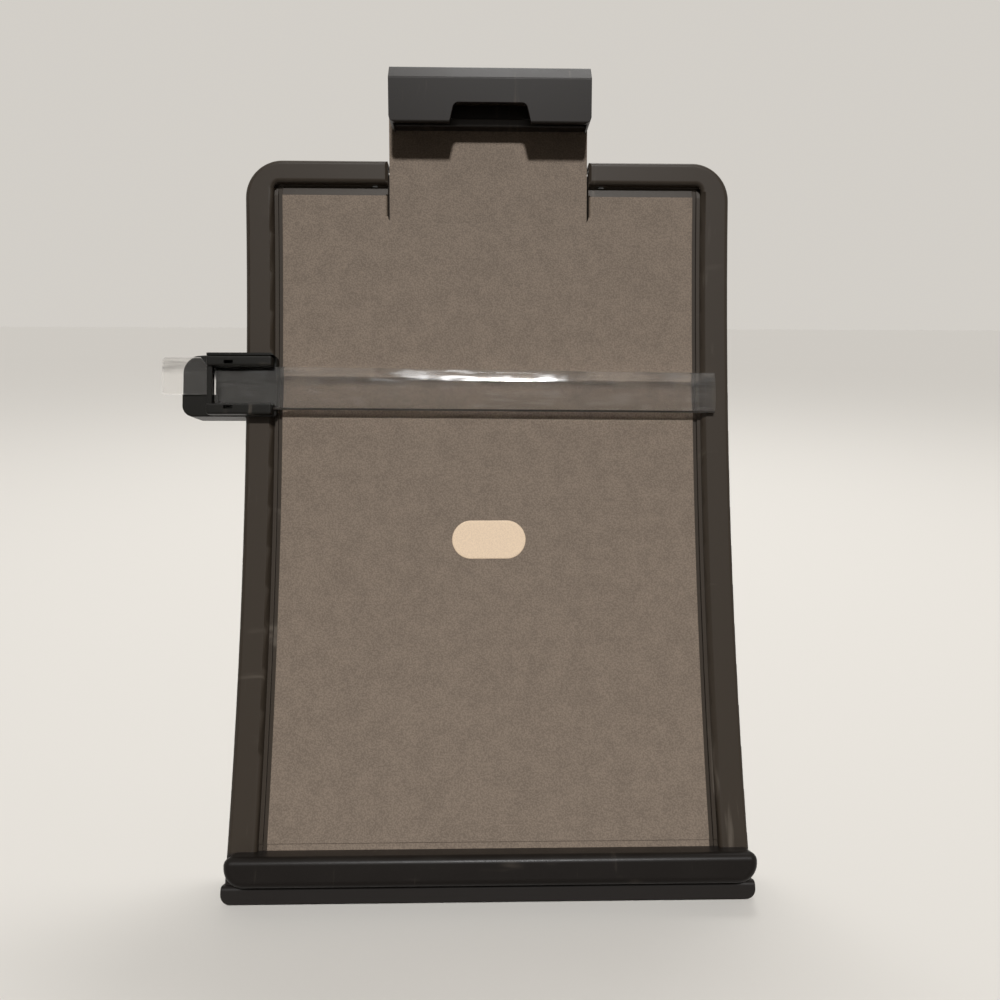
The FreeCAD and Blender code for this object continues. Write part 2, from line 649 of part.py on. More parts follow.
def clip_outer():
    """The flap's (y, n) section: its lip, its front, the bevel above it, its top and its back."""
    return [(-CLIP_LIP, CLIP_FRONT, 0.8), (-CLIP_BEVEL_DROP, CLIP_FRONT, 1.2),
            (CLIP_TOP, CLIP_BEVEL_FRONT, 1.5), (CLIP_TOP, CLIP_BACK, 0.8), (-CLIP_LIP, CLIP_BACK, 0)]


def clip_flap():
    half = CLIP_WIDTH / 2
    inner = half - CLIP_WALL
    shell = along_x(clip_outer(), -half, half)
    ceiling = CLIP_FRONT - CLIP_WALL
    head = CLIP_TOP - CLIP_WALL
    floor = CLIP_BACK + CLIP_WALL
    out = CLIP_BACK - 1
    room = [(-CLIP_LIP - 1, ceiling, 0), (-CLIP_BEVEL_DROP - 0.7, ceiling, 1),
            (head, CLIP_BEVEL_FRONT - CLIP_WALL / 2, 0.5), (head, out, 0), (-CLIP_WALL_LOW, out, 0),
            (-CLIP_WALL_LOW, floor, 0), (-CLIP_JAW_DROP, floor, 0), (-CLIP_JAW_DROP, out, 0),
            (-CLIP_LIP - 1, out, 0)]
    shell = shell.cut(along_x(room, -inner, inner))
    jaw_low = -CLIP_JAW_DROP
    jaw_high = jaw_low + CLIP_JAW_HEIGHT
    jaw = [(jaw_low, CLIP_BACK, 0), (jaw_low, CLIP_JAW_FRONT, 0.8), (jaw_high, CLIP_JAW_FRONT, 0.8),
           (jaw_high, CLIP_BACK, 0)]
    parts = [shell, along_x(jaw, -inner - 0.5, inner + 0.5)]
    rib_start = KNUCKLE_WIDTH / 2 + PAPER_GAP
    for side in (-1, 1):
        x0, x1 = sorted((side * rib_start, side * (rib_start + CLIP_WALL)))
        web = [(-CLIP_WALL_LOW, CLIP_BACK, 0), (CLIP_TOP - 1, CLIP_BACK, 0),
               (CLIP_TOP - 1, CLIP_BEVEL_FRONT - 1, 0), (-CLIP_BEVEL_DROP, CLIP_FRONT - 1, 0),
               (-CLIP_WALL_LOW, CLIP_FRONT - 1, 0)]
        parts.append(along_x(web, x0, x1))
    solid = joined(parts)
    swing = rod_x(0, CLIP_AXIS_RISE, KNUCKLE_RADIUS + PAPER_GAP, -rib_start, rib_start)
    behind = box(-rib_start, rib_start, -CLIP_OPEN_LOW, CLIP_TOP + 1, CLIP_BACK - 1, CLIP_AXIS_RISE)
    coil_end = SPRING_START + SPRING_PITCH * (SPRING_TURNS + 1)
    over_spring = box(SPRING_START - 1.2, coil_end + 1, 0, CLIP_TOP + 1, out, CLIP_AXIS_RISE + 0.5)
    solid = solid.cut(swing).cut(behind).cut(over_spring)
    solid = solid.cut(rod_x(0, CLIP_AXIS_RISE, CLIP_PIN_RADIUS + HOLE_GAP, -half, half))
    scoop_top = -CLIP_LIP + CLIP_SCOOP_RISE
    wide = CLIP_SCOOP_WIDTH / 2
    narrow = CLIP_SCOOP_TOP_WIDTH / 2
    corner = CLIP_SCOOP_CORNER
    scoop = [(-wide, -CLIP_LIP - 1, 0), (wide, -CLIP_LIP - 1, 0), (wide, -CLIP_LIP, 0),
             (narrow, scoop_top, corner), (-narrow, scoop_top, corner), (-wide, -CLIP_LIP, 0)]
    solid = solid.cut(prism(scoop, CLIP_JAW_FRONT + 1, CLIP_FRONT + 1))
    face = [(-half, -CLIP_LIP, CLIP_CORNER), (half, -CLIP_LIP, CLIP_CORNER), (half, CLIP_TOP + 5, 0),
            (-half, CLIP_TOP + 5, 0)]
    solid = solid.common(prism(face, -10, 30))
    return put(solid, clip_place())


def clip_pad():
    """Soft strip on the back of the jaw, a sheet of paper's gap from the plate."""
    inner = CLIP_WIDTH / 2 - CLIP_WALL - 1
    back = PLATE_FRONT + (CLIP_JAW_DROP ** 2) / (2 * FACE_RADIUS) + PAPER_GAP
    low = -CLIP_JAW_DROP + 0.2
    high = -CLIP_JAW_DROP + CLIP_JAW_HEIGHT - 0.2
    section = [(low, CLIP_BACK, 0), (low, back, 0.3), (high, back, 0.3), (high, CLIP_BACK, 0)]
    return put(along_x(section, -inner, inner), clip_place())


def clip_hinge_pin():
    half = CLIP_WIDTH / 2 - 0.4
    return put(rod_x(0, CLIP_AXIS_RISE, CLIP_PIN_RADIUS, -half, half), clip_place())


def arc_from(start, tangent, end):
    """Circular arc that leaves start along tangent and reaches end."""
    chord = end - start
    length = chord.Length
    along = chord * (1 / length)
    cosine = max(-1.0, min(1.0, tangent.dot(along)))
    turn = math.acos(cosine)
    if turn < 1e-6:
        return Part.makeLine(start, end)
    across = tangent - along * cosine
    across.normalize()
    middle = start + chord * 0.5 + across * (length / 2 * math.tan(turn / 2))
    return Part.Arc(start, middle, end).toShape()


def biarc(start, tangent, end, end_tangent):
    """Two arcs that join start to end and keep both directions."""
    chord = end - start
    total = tangent + end_tangent
    square = 2 * (1 - tangent.dot(end_tangent))
    reach = (-chord.dot(total) + math.sqrt(chord.dot(total) ** 2 + square * chord.dot(chord))) / square
    meeting = (start + tangent * reach + end - end_tangent * reach) * 0.5
    first = arc_from(start, tangent, meeting)
    last = arc_from(end, end_tangent * -1, meeting)
    return [first, last]


def clip_spring():
    """Torsion spring of one unbroken wire: it hooks behind the plate and presses on the clip's wall."""
    radius = SPRING_COIL_RADIUS
    slope = SPRING_PITCH / (2 * math.pi * radius)

    def place(turn):
        angle = 2 * math.pi * turn
        return Vector(SPRING_START + SPRING_PITCH * turn, radius * math.cos(angle),
                      CLIP_AXIS_RISE + radius * math.sin(angle))

    def heading(turn):
        angle = 2 * math.pi * turn
        way = Vector(slope, -math.sin(angle), math.cos(angle))
        way.normalize()
        return way

    rear = PLATE_BACK + SPRING_WIRE / 2 + 0.1
    bend = SPRING_BEND
    inset = bend * (1 - math.sqrt(0.5))
    start = Vector(SPRING_START, radius - SPRING_LEG, rear)
    bend_start = Vector(SPRING_START, radius - bend, rear)
    bend_end = Vector(SPRING_START, radius, rear + bend)
    edges = [
        Part.makeLine(start, bend_start),
        Part.Arc(bend_start, Vector(SPRING_START, radius - inset, rear + inset), bend_end).toShape(),
        Part.makeLine(bend_end, Vector(SPRING_START, radius, CLIP_AXIS_RISE)),
    ]
    quarters = 4 * SPRING_TURNS + 1
    ways = [Vector(0, 0, 1)] + [heading(i / 4) for i in range(1, quarters)] + [Vector(0, -1, 0)]
    for i in range(quarters):
        edges += biarc(place(i / 4), ways[i], place((i + 1) / 4), ways[i + 1])
    last = place(quarters / 4)
    knee_drop = Vector(0, -SPRING_KNEE[0], -SPRING_KNEE[1])
    dive = 2 * math.atan2(-knee_drop.z, -knee_drop.y)
    knee = last + knee_drop
    rest = CLIP_BACK + CLIP_WALL + PAPER_GAP + SPRING_WIRE / 2 * math.cos(dive)
    run = (knee.z - rest) / math.sin(dive)
    edges.append(arc_from(last, Vector(0, -1, 0), knee))
    edges.append(Part.makeLine(knee, knee + Vector(0, -math.cos(dive), -math.sin(dive)) * run))
    path = Part.Wire(edges)
    circle = Part.Wire(Part.makeCircle(SPRING_WIRE / 2, start, Vector(0, 1, 0)))
    wire = path.makePipeShell([circle], True, False)
    points = path.discretize(Distance=0.4)
    spacing = path.Length / (len(points) - 1)
    apart = int(math.pi * SPRING_WIRE / spacing) + 1
    pairs = [(i, j) for i in range(len(points)) for j in range(i + apart, len(points))]
    gap = min(points[i].distanceToPoint(points[j]) for i, j in pairs)
    print(f"clip_spring least gap to itself {gap - SPRING_WIRE:.2f} mm")
    return put(wire, clip_place())


def guide_outline(inner, low_corner, high_corner):
    """Front outline of the carriage: a short slope and a large round at its upper left."""
    return [(-GUIDE_OUTER, -GUIDE_BOTTOM, GUIDE_LOW_CORNER), (-inner, -GUIDE_BOTTOM, low_corner),
            (-inner, GUIDE_TOP, high_corner), (-GUIDE_SLOPE_START, GUIDE_TOP, 6),
            (-GUIDE_OUTER, GUIDE_TOP - GUIDE_SLOPE_DROP, GUIDE_HIGH_CORNER)]


def rail_room():
    """The rail with a running gap round it, as the carriage clears it."""
    gap = GUIDE_GAP
    outside = -HALF - gap
    inside = -RAIL_INSIDE + gap
    tall = GUIDE_TOP + 20
    s0, s1 = GUIDE_AT - tall, GUIDE_AT + tall
    behind = -BOARD_DEPTH - gap - 1
    rail = slab(outside, inside, s0, s1, behind, RIM_HEIGHT + gap)
    panel = slab(inside - 1, inside + 60, s0, s1, behind, gap)
    return joined([rail, panel])


def slider_body():
    """Outboard block and the floor that the strip lies on, with a wall along its upper edge."""
    back = -BOARD_DEPTH - GUIDE_GAP
    face = guide_outline(GUIDE_INNER, 1.5, 2.5)
    block = prism(face, back, GUIDE_FLOOR)
    rim = [edge for edge in block.Edges
           if edge.BoundBox.ZMin > GUIDE_FLOOR - 0.01 and edge.BoundBox.XMax < -GUIDE_INNER - 1
           and edge.BoundBox.XMin < -GUIDE_SLOPE_START - 1]
    block = block.makeFillet(0.8, rim)
    wall = box(-FRAME_LEFT, -GUIDE_INNER, GUIDE_TOP - TRAY_WALL, GUIDE_TOP, GUIDE_FLOOR - 1, TRAY_FRONT)
    block = joined([block, wall.common(prism(face, back, TRAY_FRONT))])
    block = put(block, frame_at(GUIDE_AT)).cut(rail_room())
    spring_room = box(-HALF - BOW_ROOM, -HALF + 1, -BOW_HALF - 3, BOW_HALF + 2.4, -BOW_WIDTH - 0.6, 0.8)
    block = block.cut(put(spring_room, frame_at(GUIDE_AT)))
    for y in (-GUIDE_SCREW_Y, GUIDE_SCREW_Y):
        hole = Part.makeCylinder(SCREW_RADIUS + HOLE_GAP, 12, Vector(-GUIDE_SCREW_X, y, back - 1))
        block = block.cut(put(hole, frame_at(GUIDE_AT)))
    return max(block.Solids, key=lambda solid: solid.Volume)


def slider_jaw():
    """Rear clamp plate that hooks round the rail's flange."""
    front = -BOARD_DEPTH - GUIDE_GAP
    inner = HALF - WALL - 1.2 - HOOK_WIDTH
    jaw = prism(guide_outline(inner, 3, 3), front - GUIDE_BACK, front)
    back_rim = [edge for edge in jaw.Edges if edge.BoundBox.ZMax < front - GUIDE_BACK + 0.01]
    jaw = jaw.makeFillet(1.0, back_rim)
    hook = box(-inner - HOOK_WIDTH, -inner, -GUIDE_BOTTOM + 3, GUIDE_TOP - 3, front - 1, front + HOOK_RISE)
    jaw = joined([jaw, hook])
    for y in (-GUIDE_SCREW_Y, GUIDE_SCREW_Y):
        hole = Part.makeCylinder(SCREW_RADIUS + HOLE_GAP, 12, Vector(-GUIDE_SCREW_X, y, front - 8))
        seat_low = Vector(-GUIDE_SCREW_X, y, front - GUIDE_BACK + GUIDE_SCREW_SINK - 8)
        seat = Part.makeCylinder(SCREW_HEAD_RADIUS + 0.2, 8, seat_low)
        jaw = jaw.cut(hole).cut(seat)
    return put(jaw, frame_at(GUIDE_AT))


def slider_screws():
    seat = -BOARD_DEPTH - GUIDE_GAP - GUIDE_BACK + GUIDE_SCREW_SINK - HOLE_GAP
    screws = []
    for y in (-GUIDE_SCREW_Y, GUIDE_SCREW_Y):
        place = Placement(Vector(-GUIDE_SCREW_X, y, seat), Rotation())
        screws.append(put(screw(GUIDE_SCREW), frame_at(GUIDE_AT).multiply(place)))
    return Part.makeCompound(screws)


def slider_spring():
    """Bowed leaf beside the rail: its crown bears on the board's side."""
    crown = -HALF - BOW_GAP
    flat = crown - BOW_RISE
    reach = BOW_HALF
    arc = Part.Arc(Vector(flat, -reach, 0), Vector(crown, 0, 0), Vector(flat, reach, 0))
    outer = flat - LEAF
    back = Part.Arc(Vector(outer, reach, 0), Vector(crown - LEAF, 0, 0), Vector(outer, -reach, 0))
    ends = [Part.makeLine(Vector(flat, reach, 0), Vector(outer, reach, 0)),
            Part.makeLine(Vector(outer, -reach, 0), Vector(flat, -reach, 0))]
    face = Part.Face(Part.Wire([arc.toShape(), ends[0], back.toShape(), ends[1]]))
    face.translate(Vector(0, 0, -BOW_WIDTH))
    return put(face.extrude(Vector(0, 0, BOW_WIDTH)), frame_at(GUIDE_AT))


def strip_place():
    """The strip's own frame on the guide: tilted a little, its X along the strip."""
    turned = Placement(Vector(-FRAME_LEFT, -STRIP_DROP, 0), Rotation(Vector(0, 0, 1), -STRIP_TILT))
    return frame_at(GUIDE_AT).multiply(turned)


def strip_section(gap):
    """The strip's (y, n) section with its bevelled edges, grown by a gap at its sides and front."""
    half = STRIP_WIDTH / 2 + gap
    flat = STRIP_WIDTH / 2 - STRIP_FACET
    back = STRIP_BED - 4 * gap
    return [(-half, back, 0.2), (half, back, 0.2), (half, STRIP_EDGE + gap, 0.3), (flat, STRIP_TOP + gap, 3),
            (-flat, STRIP_TOP + gap, 3), (-half, STRIP_EDGE + gap, 0.3)]


def snap_windows(gap):
    """The two windows through the bars, above and below the strip, grown by a gap."""
    wide = FRAME_WINDOW[0] / 2 + gap
    tall = FRAME_WINDOW[1] / 2 + gap
    x = -FRAME_WINDOW_X
    return [box(x - wide, x + wide, y - tall, y + tall, GUIDE_FLOOR - 1, FRAME_FRONT + 1)
            for y in (-FRAME_WINDOW_Y, FRAME_WINDOW_Y)]


def slider_frame():
    """Clamp frame over the strip: two bars and an end bar, with a snap window in each bar."""
    left = -FRAME_LEFT
    right = -GUIDE_INNER - 1.2
    high = GUIDE_TOP - TRAY_WALL - GUIDE_GAP
    low = -GUIDE_BOTTOM + 0.5
    parts = []
    for y0, y1 in ((FRAME_BAR, high), (low, -FRAME_BAR)):
        bar = prism([(left, y0, 1), (right, y0, 1), (right, y1, 1), (left, y1, 1)], GUIDE_FLOOR, FRAME_FRONT)
        front = [edge for edge in bar.Edges if edge.BoundBox.ZMin > FRAME_FRONT - 0.01]
        parts.append(bar.makeFillet(FRAME_ROUND, front))
    end = FRAME_BAR + 2
    parts.append(box(left, left + FRAME_END_BAR, -end, end, GUIDE_FLOOR, FRAME_FRONT - FRAME_END_LOW))
    frame = joined(parts)
    for window in snap_windows(0):
        frame = frame.cut(window)
    frame = put(frame, frame_at(GUIDE_AT))
    room = along_x(strip_section(GUIDE_GAP), -20, FRAME_LEFT)
    return frame.cut(put(room, strip_place()))


def line_strip():
    """Clear strip with bevelled edges that narrows to its free end, and a pull tab at the other."""
    end = FRAME_LEFT + STRIP_END
    edge = STRIP_WIDTH / 2
    taper = [(FRAME_LEFT - GUIDE_INNER, edge, 0), (end + 1, edge - STRIP_TAPER, 0), (end + 1, edge + 1, 0),
             (FRAME_LEFT - GUIDE_INNER, edge + 1, 0)]
    band = along_x(strip_section(0), FRAME_END_BAR + 1, end).cut(prism(taper, 0, STRIP_TOP + 1))
    band = put(band, strip_place())
    inner = -FRAME_LEFT + FRAME_END_BAR + 4
    shoulder = -FRAME_LEFT - 0.4
    high = FRAME_BAR - 0.4
    tab = prism([(-TAB_END, -TAB_LOW, TAB_CORNER), (inner, -TAB_LOW, 0), (inner, high, 0),
                 (shoulder, high, 0), (shoulder - TAB_SHOULDER, TAB_HIGH, TAB_CORNER),
                 (-TAB_END, TAB_HIGH, TAB_CORNER)], STRIP_BED, STRIP_EDGE)
    strip = joined([band, put(tab, frame_at(GUIDE_AT))])
    for window in snap_windows(0.1):
        strip = strip.cut(put(window, frame_at(GUIDE_AT)))
    return strip


def leg_axis():
    """Middle of the leg's hinge, as a point in the world."""
    return on_face(0, LEG_AXIS_AT, -LEG_AXIS_DEPTH)


def leg_frame():
    """Frame on the leg's hinge when it stands open: X along the hinge, Y up the leg, Z to the board."""
    hinge = leg_axis()
    drop = Vector(0, LEG_FOOT_Y - hinge.y, -hinge.z)
    up = drop * (-1 / drop.Length)
    angle = math.degrees(math.atan2(up.z, up.y))
    return Placement(hinge, Rotation(Vector(1, 0, 0), angle)), drop.Length


def leg_outline(inset, length):
    top = LEG_TOP_WIDTH / 2 - inset
    foot = LEG_FOOT_WIDTH / 2 - inset
    low = -length - 10
    neck = -LEG_BARREL - LEG_NECK
    return [(-foot, low, 0), (foot, low, 0), (top, neck, LEG_NECK_ROUND), (top, 0, 0), (-top, 0, 0),
            (-top, neck, LEG_NECK_ROUND)]


def easel_leg():
    place, length = leg_frame()
    top = LEG_TOP_WIDTH / 2
    back = -LEG_BARREL
    front = back + LEG_DEPTH
    panel = prism(leg_outline(0, length), back, back + LEG_PANEL)
    flange = prism(leg_outline(0, length), back, front)
    flange = flange.cut(prism(leg_outline(WALL, length), back - 1, front + 1))
    barrel = rod_x(0, 0, LEG_BARREL, -top, top)
    heel = box(-top, top, 0, LEG_HEEL, -LEG_BARREL, LEG_BARREL * 0.6)
    inside = prism(leg_outline(1, length), back, front)
    ribs = [box(-LEG_FOOT_WIDTH / 2, LEG_FOOT_WIDTH / 2, y - 1, y + 1, back + 1, front - 1).common(inside)
            for y in [-length * part for part in LEG_RIBS]]
    web = box(-1, 1, -length, -LEG_BARREL, back + 1, front - 2)
    sole = box(-LEG_FOOT_WIDTH / 2, LEG_FOOT_WIDTH / 2, -length - 10, -length + LEG_SOLE, back, front)
    sole = sole.common(prism(leg_outline(0, length), back, front))
    solid = joined([panel, flange, barrel, heel, web, sole] + ribs)
    solid = solid.cut(rod_x(0, 0, LEG_PIN_RADIUS + HOLE_GAP, -top, top))
    slot = LATCH_HALF + 1
    solid = solid.cut(box(-slot, slot, -LEG_BARREL - 1, LEG_HEEL + 1, LEG_BARREL * 0.6 - 1.2, 20))
    solid = solid.cut(box(-slot, slot, 0, LEG_HEEL + 1, -LEG_BARREL + LEG_PANEL, 20))
    solid = put(solid, place).cut(box(-200, 200, -300, 400, -100, FOOT_THICKNESS))
    bracket_face = -SKIN - PAD_RISE - BRACKET_BASE
    stop = put(box(-100, 100, -60, 60, bracket_face - STOP_GAP, 40), frame_at(LEG_AXIS_AT))
    return solid.cut(stop)


def rear_feet():
    y0 = LEG_FOOT_Y - REAR_FOOT_DEPTH / 2
    y1 = LEG_FOOT_Y + REAR_FOOT_DEPTH / 2
    x = LEG_FOOT_WIDTH / 2 - REAR_FOOT_LENGTH / 2 - 3
    feet = []
    for side in (-1, 1):
        x0, x1 = side * x - REAR_FOOT_LENGTH / 2, side * x + REAR_FOOT_LENGTH / 2
        feet.append(prism([(x0, y0, 1.2), (x1, y0, 1.2), (x1, y1, 1.2), (x0, y1, 1.2)], 0, FOOT_THICKNESS))
    return Part.makeCompound(feet)


def leg_bracket():
    base_back = -SKIN - PAD_RISE
    ear_inside = LEG_TOP_WIDTH / 2 + EAR_GAP
    half = ear_inside + EAR_THICKNESS + BRACKET_MARGIN
    high = BRACKET_HALF_HEIGHT
    outline_corners = [(-half, -high, 3), (half, -high, 3), (half, high, 3), (-half, high, 3)]
    base = prism(outline_corners, base_back - BRACKET_BASE, base_back)
    parts = [base]
    for side in (-1, 1):
        x0, x1 = sorted((side * ear_inside, side * (ear_inside + EAR_THICKNESS)))
        reach = LEG_BARREL + 1
        ear = [(-high + 1, base_back - 1, 0), (high - 1, base_back - 1, 0), (reach, -LEG_AXIS_DEPTH - 4, 5),
               (-reach, -LEG_AXIS_DEPTH - 4, 5)]
        parts.append(along_x(ear, x0, x1))
    bracket = joined(parts)
    bracket = bracket.cut(rod_x(0, -LEG_AXIS_DEPTH, LEG_PIN_RADIUS + HOLE_GAP, -half, half))
    for x, y in bracket_screw_places():
        bracket = bracket.cut(Part.makeCylinder(SCREW_RADIUS + HOLE_GAP, 30, Vector(x, y, -25)))
    return put(bracket, frame_at(LEG_AXIS_AT))


def leg_bracket_screws():
    seat = -SKIN - PAD_RISE - BRACKET_BASE - HOLE_GAP
    length = -seat - SKIN / 2 - 0.4
    places = [Placement(Vector(x, y, seat), Rotation()) for x, y in bracket_screw_places()]
    return Part.makeCompound([put(screw(length), frame_at(LEG_AXIS_AT).multiply(place)) for place in places])


def leg_hinge_pin():
    half = LEG_TOP_WIDTH / 2 + EAR_GAP + EAR_THICKNESS
    shank = rod_x(0, -LEG_AXIS_DEPTH, LEG_PIN_RADIUS, -half - 0.2, half + 0.8)
    head = rod_x(0, -LEG_AXIS_DEPTH, LEG_PIN_RADIUS + 1.2, -half - 1.6, -half - 0.1)
    return put(joined([shank, head]), frame_at(LEG_AXIS_AT))


def leg_latch_spring():
    """Bowed leaf on the bracket that bears on the leg's barrel."""
    seat = -SKIN - PAD_RISE - BRACKET_BASE - 0.05
    crown = -LEG_AXIS_DEPTH + LEG_BARREL + 0.3
    path = [(-10, seat), (-7, seat), (-4, crown + 0.9), (-1.5, crown + LEAF), (1.5, crown + LEAF)]
    leaf = along_x(leaf_section(path, LEAF), -LATCH_HALF, LATCH_HALF)
    return put(leaf, frame_at(LEG_AXIS_AT))


def label():
    half = LABEL_LENGTH / 2
    round_end = LABEL_WIDTH / 2
    corner = round_end - 0.01
    corners = [(-half, -round_end, corner), (half, -round_end, corner), (half, round_end, corner),
               (-half, round_end, corner)]
    patch = put(prism(corners, -5, 5), frame_at(LABEL_AT))
    sheet = slab(-half, half, LABEL_AT - LABEL_WIDTH, LABEL_AT + LABEL_WIDTH, SEAT_GAP, LABEL_THICKNESS)
    return sheet.common(patch)


PIECES = [
    board_shell, ledge, ledge_screws, foot_strip, guide_cover, guide_cover_screws, plate_detent_spring,
    detent_screw, extension_plate, clip_flap, clip_pad, clip_hinge_pin, clip_spring, slider_body,
    slider_frame, slider_jaw, slider_screws, slider_spring, line_strip, leg_bracket, leg_bracket_screws,
    leg_hinge_pin, leg_latch_spring, easel_leg, rear_feet, label,
]

os.makedirs("parts", exist_ok=True)
for piece in PIECES:
    save(piece.__name__, piece())
print(f"remote axis of the two travels: y {CENTRE_Y:.3f}  z {CENTRE_Z:.3f}")
print(f"clip axis {on_face(0, CLIP_AXIS_AT, CLIP_AXIS_RISE)}  leg axis {leg_axis()}")
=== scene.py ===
# %% [markdown]
# # A copy holder with a line guide
#
# This file builds the look of a desk copy holder: a curved, grained board that leans on
# a folding leg, with a ledge for the paper, a sprung clip on a sliding plate and a clear
# line guide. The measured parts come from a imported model, so their shapes and places
# are settled. What is left is what makes them look real: finish, light and a few pieces
# that are better worked out as smooth surfaces. Lengths are in metres, except where a
# cell says millimetres.

import math

import bpy
import numpy as np
from mathutils import Matrix, Vector


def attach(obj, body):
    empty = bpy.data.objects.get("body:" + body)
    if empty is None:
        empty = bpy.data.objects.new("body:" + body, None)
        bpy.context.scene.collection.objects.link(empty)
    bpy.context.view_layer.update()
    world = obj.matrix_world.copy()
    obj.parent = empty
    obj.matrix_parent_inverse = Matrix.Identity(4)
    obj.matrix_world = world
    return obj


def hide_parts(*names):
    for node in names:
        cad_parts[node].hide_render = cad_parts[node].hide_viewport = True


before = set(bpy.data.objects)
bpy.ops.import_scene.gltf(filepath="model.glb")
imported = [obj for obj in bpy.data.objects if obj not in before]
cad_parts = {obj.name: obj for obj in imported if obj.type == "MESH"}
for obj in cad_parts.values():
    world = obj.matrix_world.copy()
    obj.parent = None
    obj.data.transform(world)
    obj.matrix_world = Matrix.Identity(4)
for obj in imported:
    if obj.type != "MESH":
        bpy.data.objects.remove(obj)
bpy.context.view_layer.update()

# %% [markdown]
# The board is curved like a slice of a wide cylinder, and nearly everything sits on that
# curve. It helps to keep the cylinder's few numbers in one place. A place on the board is
# then given as across (x), along (the arc up the face from the ledge) and proud (the
# height over the face). The centre of the curve is far in front of the board.

# %% The board's curve
MM = 0.001
FACE_RADIUS = 1.150
FACE_LENGTH = 0.331
LEAN_AT_LEDGE = math.radians(27.0)
CURVE_CENTRE = (-1.021699, 0.539089)


def on_board(x, along, proud):
    """Points on the curve: the lean shrinks by along / radius, and the point stands at
    radius minus proud from the centre, down and back by the sine and cosine of the lean."""
    lean = LEAN_AT_LEDGE - np.asarray(along) / FACE_RADIUS
    reach = FACE_RADIUS - np.asarray(proud)
    y = CURVE_CENTRE[0] + reach * np.cos(lean)
    z = CURVE_CENTRE[1] - reach * np.sin(lean)
    return np.stack(np.broadcast_arrays(np.asarray(x, float), y, z), axis=-1)


print("ledge seat at", on_board(0, 0, 0).round(4))
print("top edge at", on_board(0, FACE_LENGTH, 0).round(4))

# %% [markdown]
# The camera comes first, because every later choice is judged through it. Its place and
# lens were worked out from the straight edges of the board in the photograph: it is
# thirty centimetres in front of the ledge, three quarters of the way up the board, and
# tipped down by fourteen degrees. Its place is written in millimetres. A camera can be
# aimed by hand, but building its matrix from the three angles keeps them readable.

# %% Camera
CAMERA_PLACE = Vector((-2.053, -294.354, 257.299)) * MM
TURN, TIP, ROLL = (math.radians(a) for a in (1.204, 14.053, 0.231))
PHOTO_SIDE = 1000
FOCAL_PIXELS = 751.0
SENSOR_WIDTH = 36.0
NEAREST_SEEN = 0.01


def camera_matrix(place, turn, tip, roll):
    """Forward is (sin turn cos tip, cos turn cos tip, -sin tip), right and up are square
    to it, and the roll turns those two about it. The columns are right, up and minus
    forward."""
    level_reach = math.cos(tip)
    forward = Vector((math.sin(turn) * level_reach, math.cos(turn) * level_reach, -math.sin(tip)))
    right = Vector((math.cos(turn), -math.sin(turn), 0))
    up = right.cross(forward)
    rolled_right = right * math.cos(roll) + up * math.sin(roll)
    rolled_up = up * math.cos(roll) - right * math.sin(roll)
    turned = Matrix((rolled_right, rolled_up, -forward)).transposed()
    return Matrix.Translation(place) @ turned.to_4x4()


lens = bpy.data.cameras.new("photo_camera")
lens.sensor_width = SENSOR_WIDTH
lens.lens = FOCAL_PIXELS / PHOTO_SIDE * SENSOR_WIDTH
lens.clip_start = NEAREST_SEEN
camera = bpy.data.objects.new("photo_camera", lens)
camera.matrix_world = camera_matrix(CAMERA_PLACE, TURN, TIP, ROLL)
bpy.context.scene.collection.objects.link(camera)
bpy.context.scene.camera = camera
print("lens:", round(lens.lens, 2), "mm")

# %% [markdown]
# The surroundings and every finish are small graphs of nodes. The helpers below keep
# their wiring short. A socket takes either a plain value or a link from another socket,
# so one helper decides which, and the others are built on it: they place a node, do a
# sum, make a smooth step, mix two colours, or make a material or a group.

# %% Helpers for node graphs


def give(tree, socket, value):
    """Links the value to the socket if it is a socket too, and sets it otherwise."""
    if isinstance(value, bpy.types.NodeSocket):
        tree.links.new(value, socket)
    else:
        socket.default_value = value


def place_node(tree, kind, inputs=None, **settings):
    """A node of a kind with its settings. Each input takes a plain value or a link."""
    node = tree.nodes.new(kind)
    for key, value in settings.items():
        setattr(node, key, value)
    for key, value in (inputs or {}).items():
        give(tree, node.inputs[key], value)
    return node


def math_node(tree, operation, *values):
    """The result of one sum on links or numbers."""
    inputs = dict(enumerate(values))
    return place_node(tree, "ShaderNodeMath", inputs, operation=operation).outputs[0]


def plus(tree, first, second):
    """first + second."""
    return math_node(tree, "ADD", first, second)


def times(tree, first, second):
    """first * second."""
    return math_node(tree, "MULTIPLY", first, second)


def ramp(tree, value, low, high, start=0.0, end=1.0):
    """A smooth step from start to end while the value goes from low to high:
    start + (end - start) t t (3 - 2 t), with t = (value - low) / (high - low)."""
    inputs = {"Value": value, "From Min": low, "From Max": high, "To Min": start, "To Max": end}
    node = place_node(tree, "ShaderNodeMapRange", inputs, interpolation_type="SMOOTHSTEP")
    return node.outputs[0]


def above(tree, value, limit, soft):
    """0 under the limit and 1 over it, with a step that reaches soft to either side."""
    return ramp(tree, value, limit - soft, limit + soft)


def under(tree, value, limit, soft):
    """1 under the limit and 0 over it: one minus above."""
    return math_node(tree, "SUBTRACT", 1.0, above(tree, value, limit, soft))


def mixed(tree, factor, first, second):
    """A colour between two colours: first at factor 0 and second at factor 1. The node
    keeps its colour sockets in places 6 and 7, and its colour result in place 2."""
    inputs = {0: factor, 6: first, 7: second}
    return place_node(tree, "ShaderNodeMix", inputs, data_type="RGBA").outputs[2]


def scaled(colour, gain):
    """A colour times a gain, fully opaque."""
    return tuple(value * gain for value in colour[:3]) + (1,)


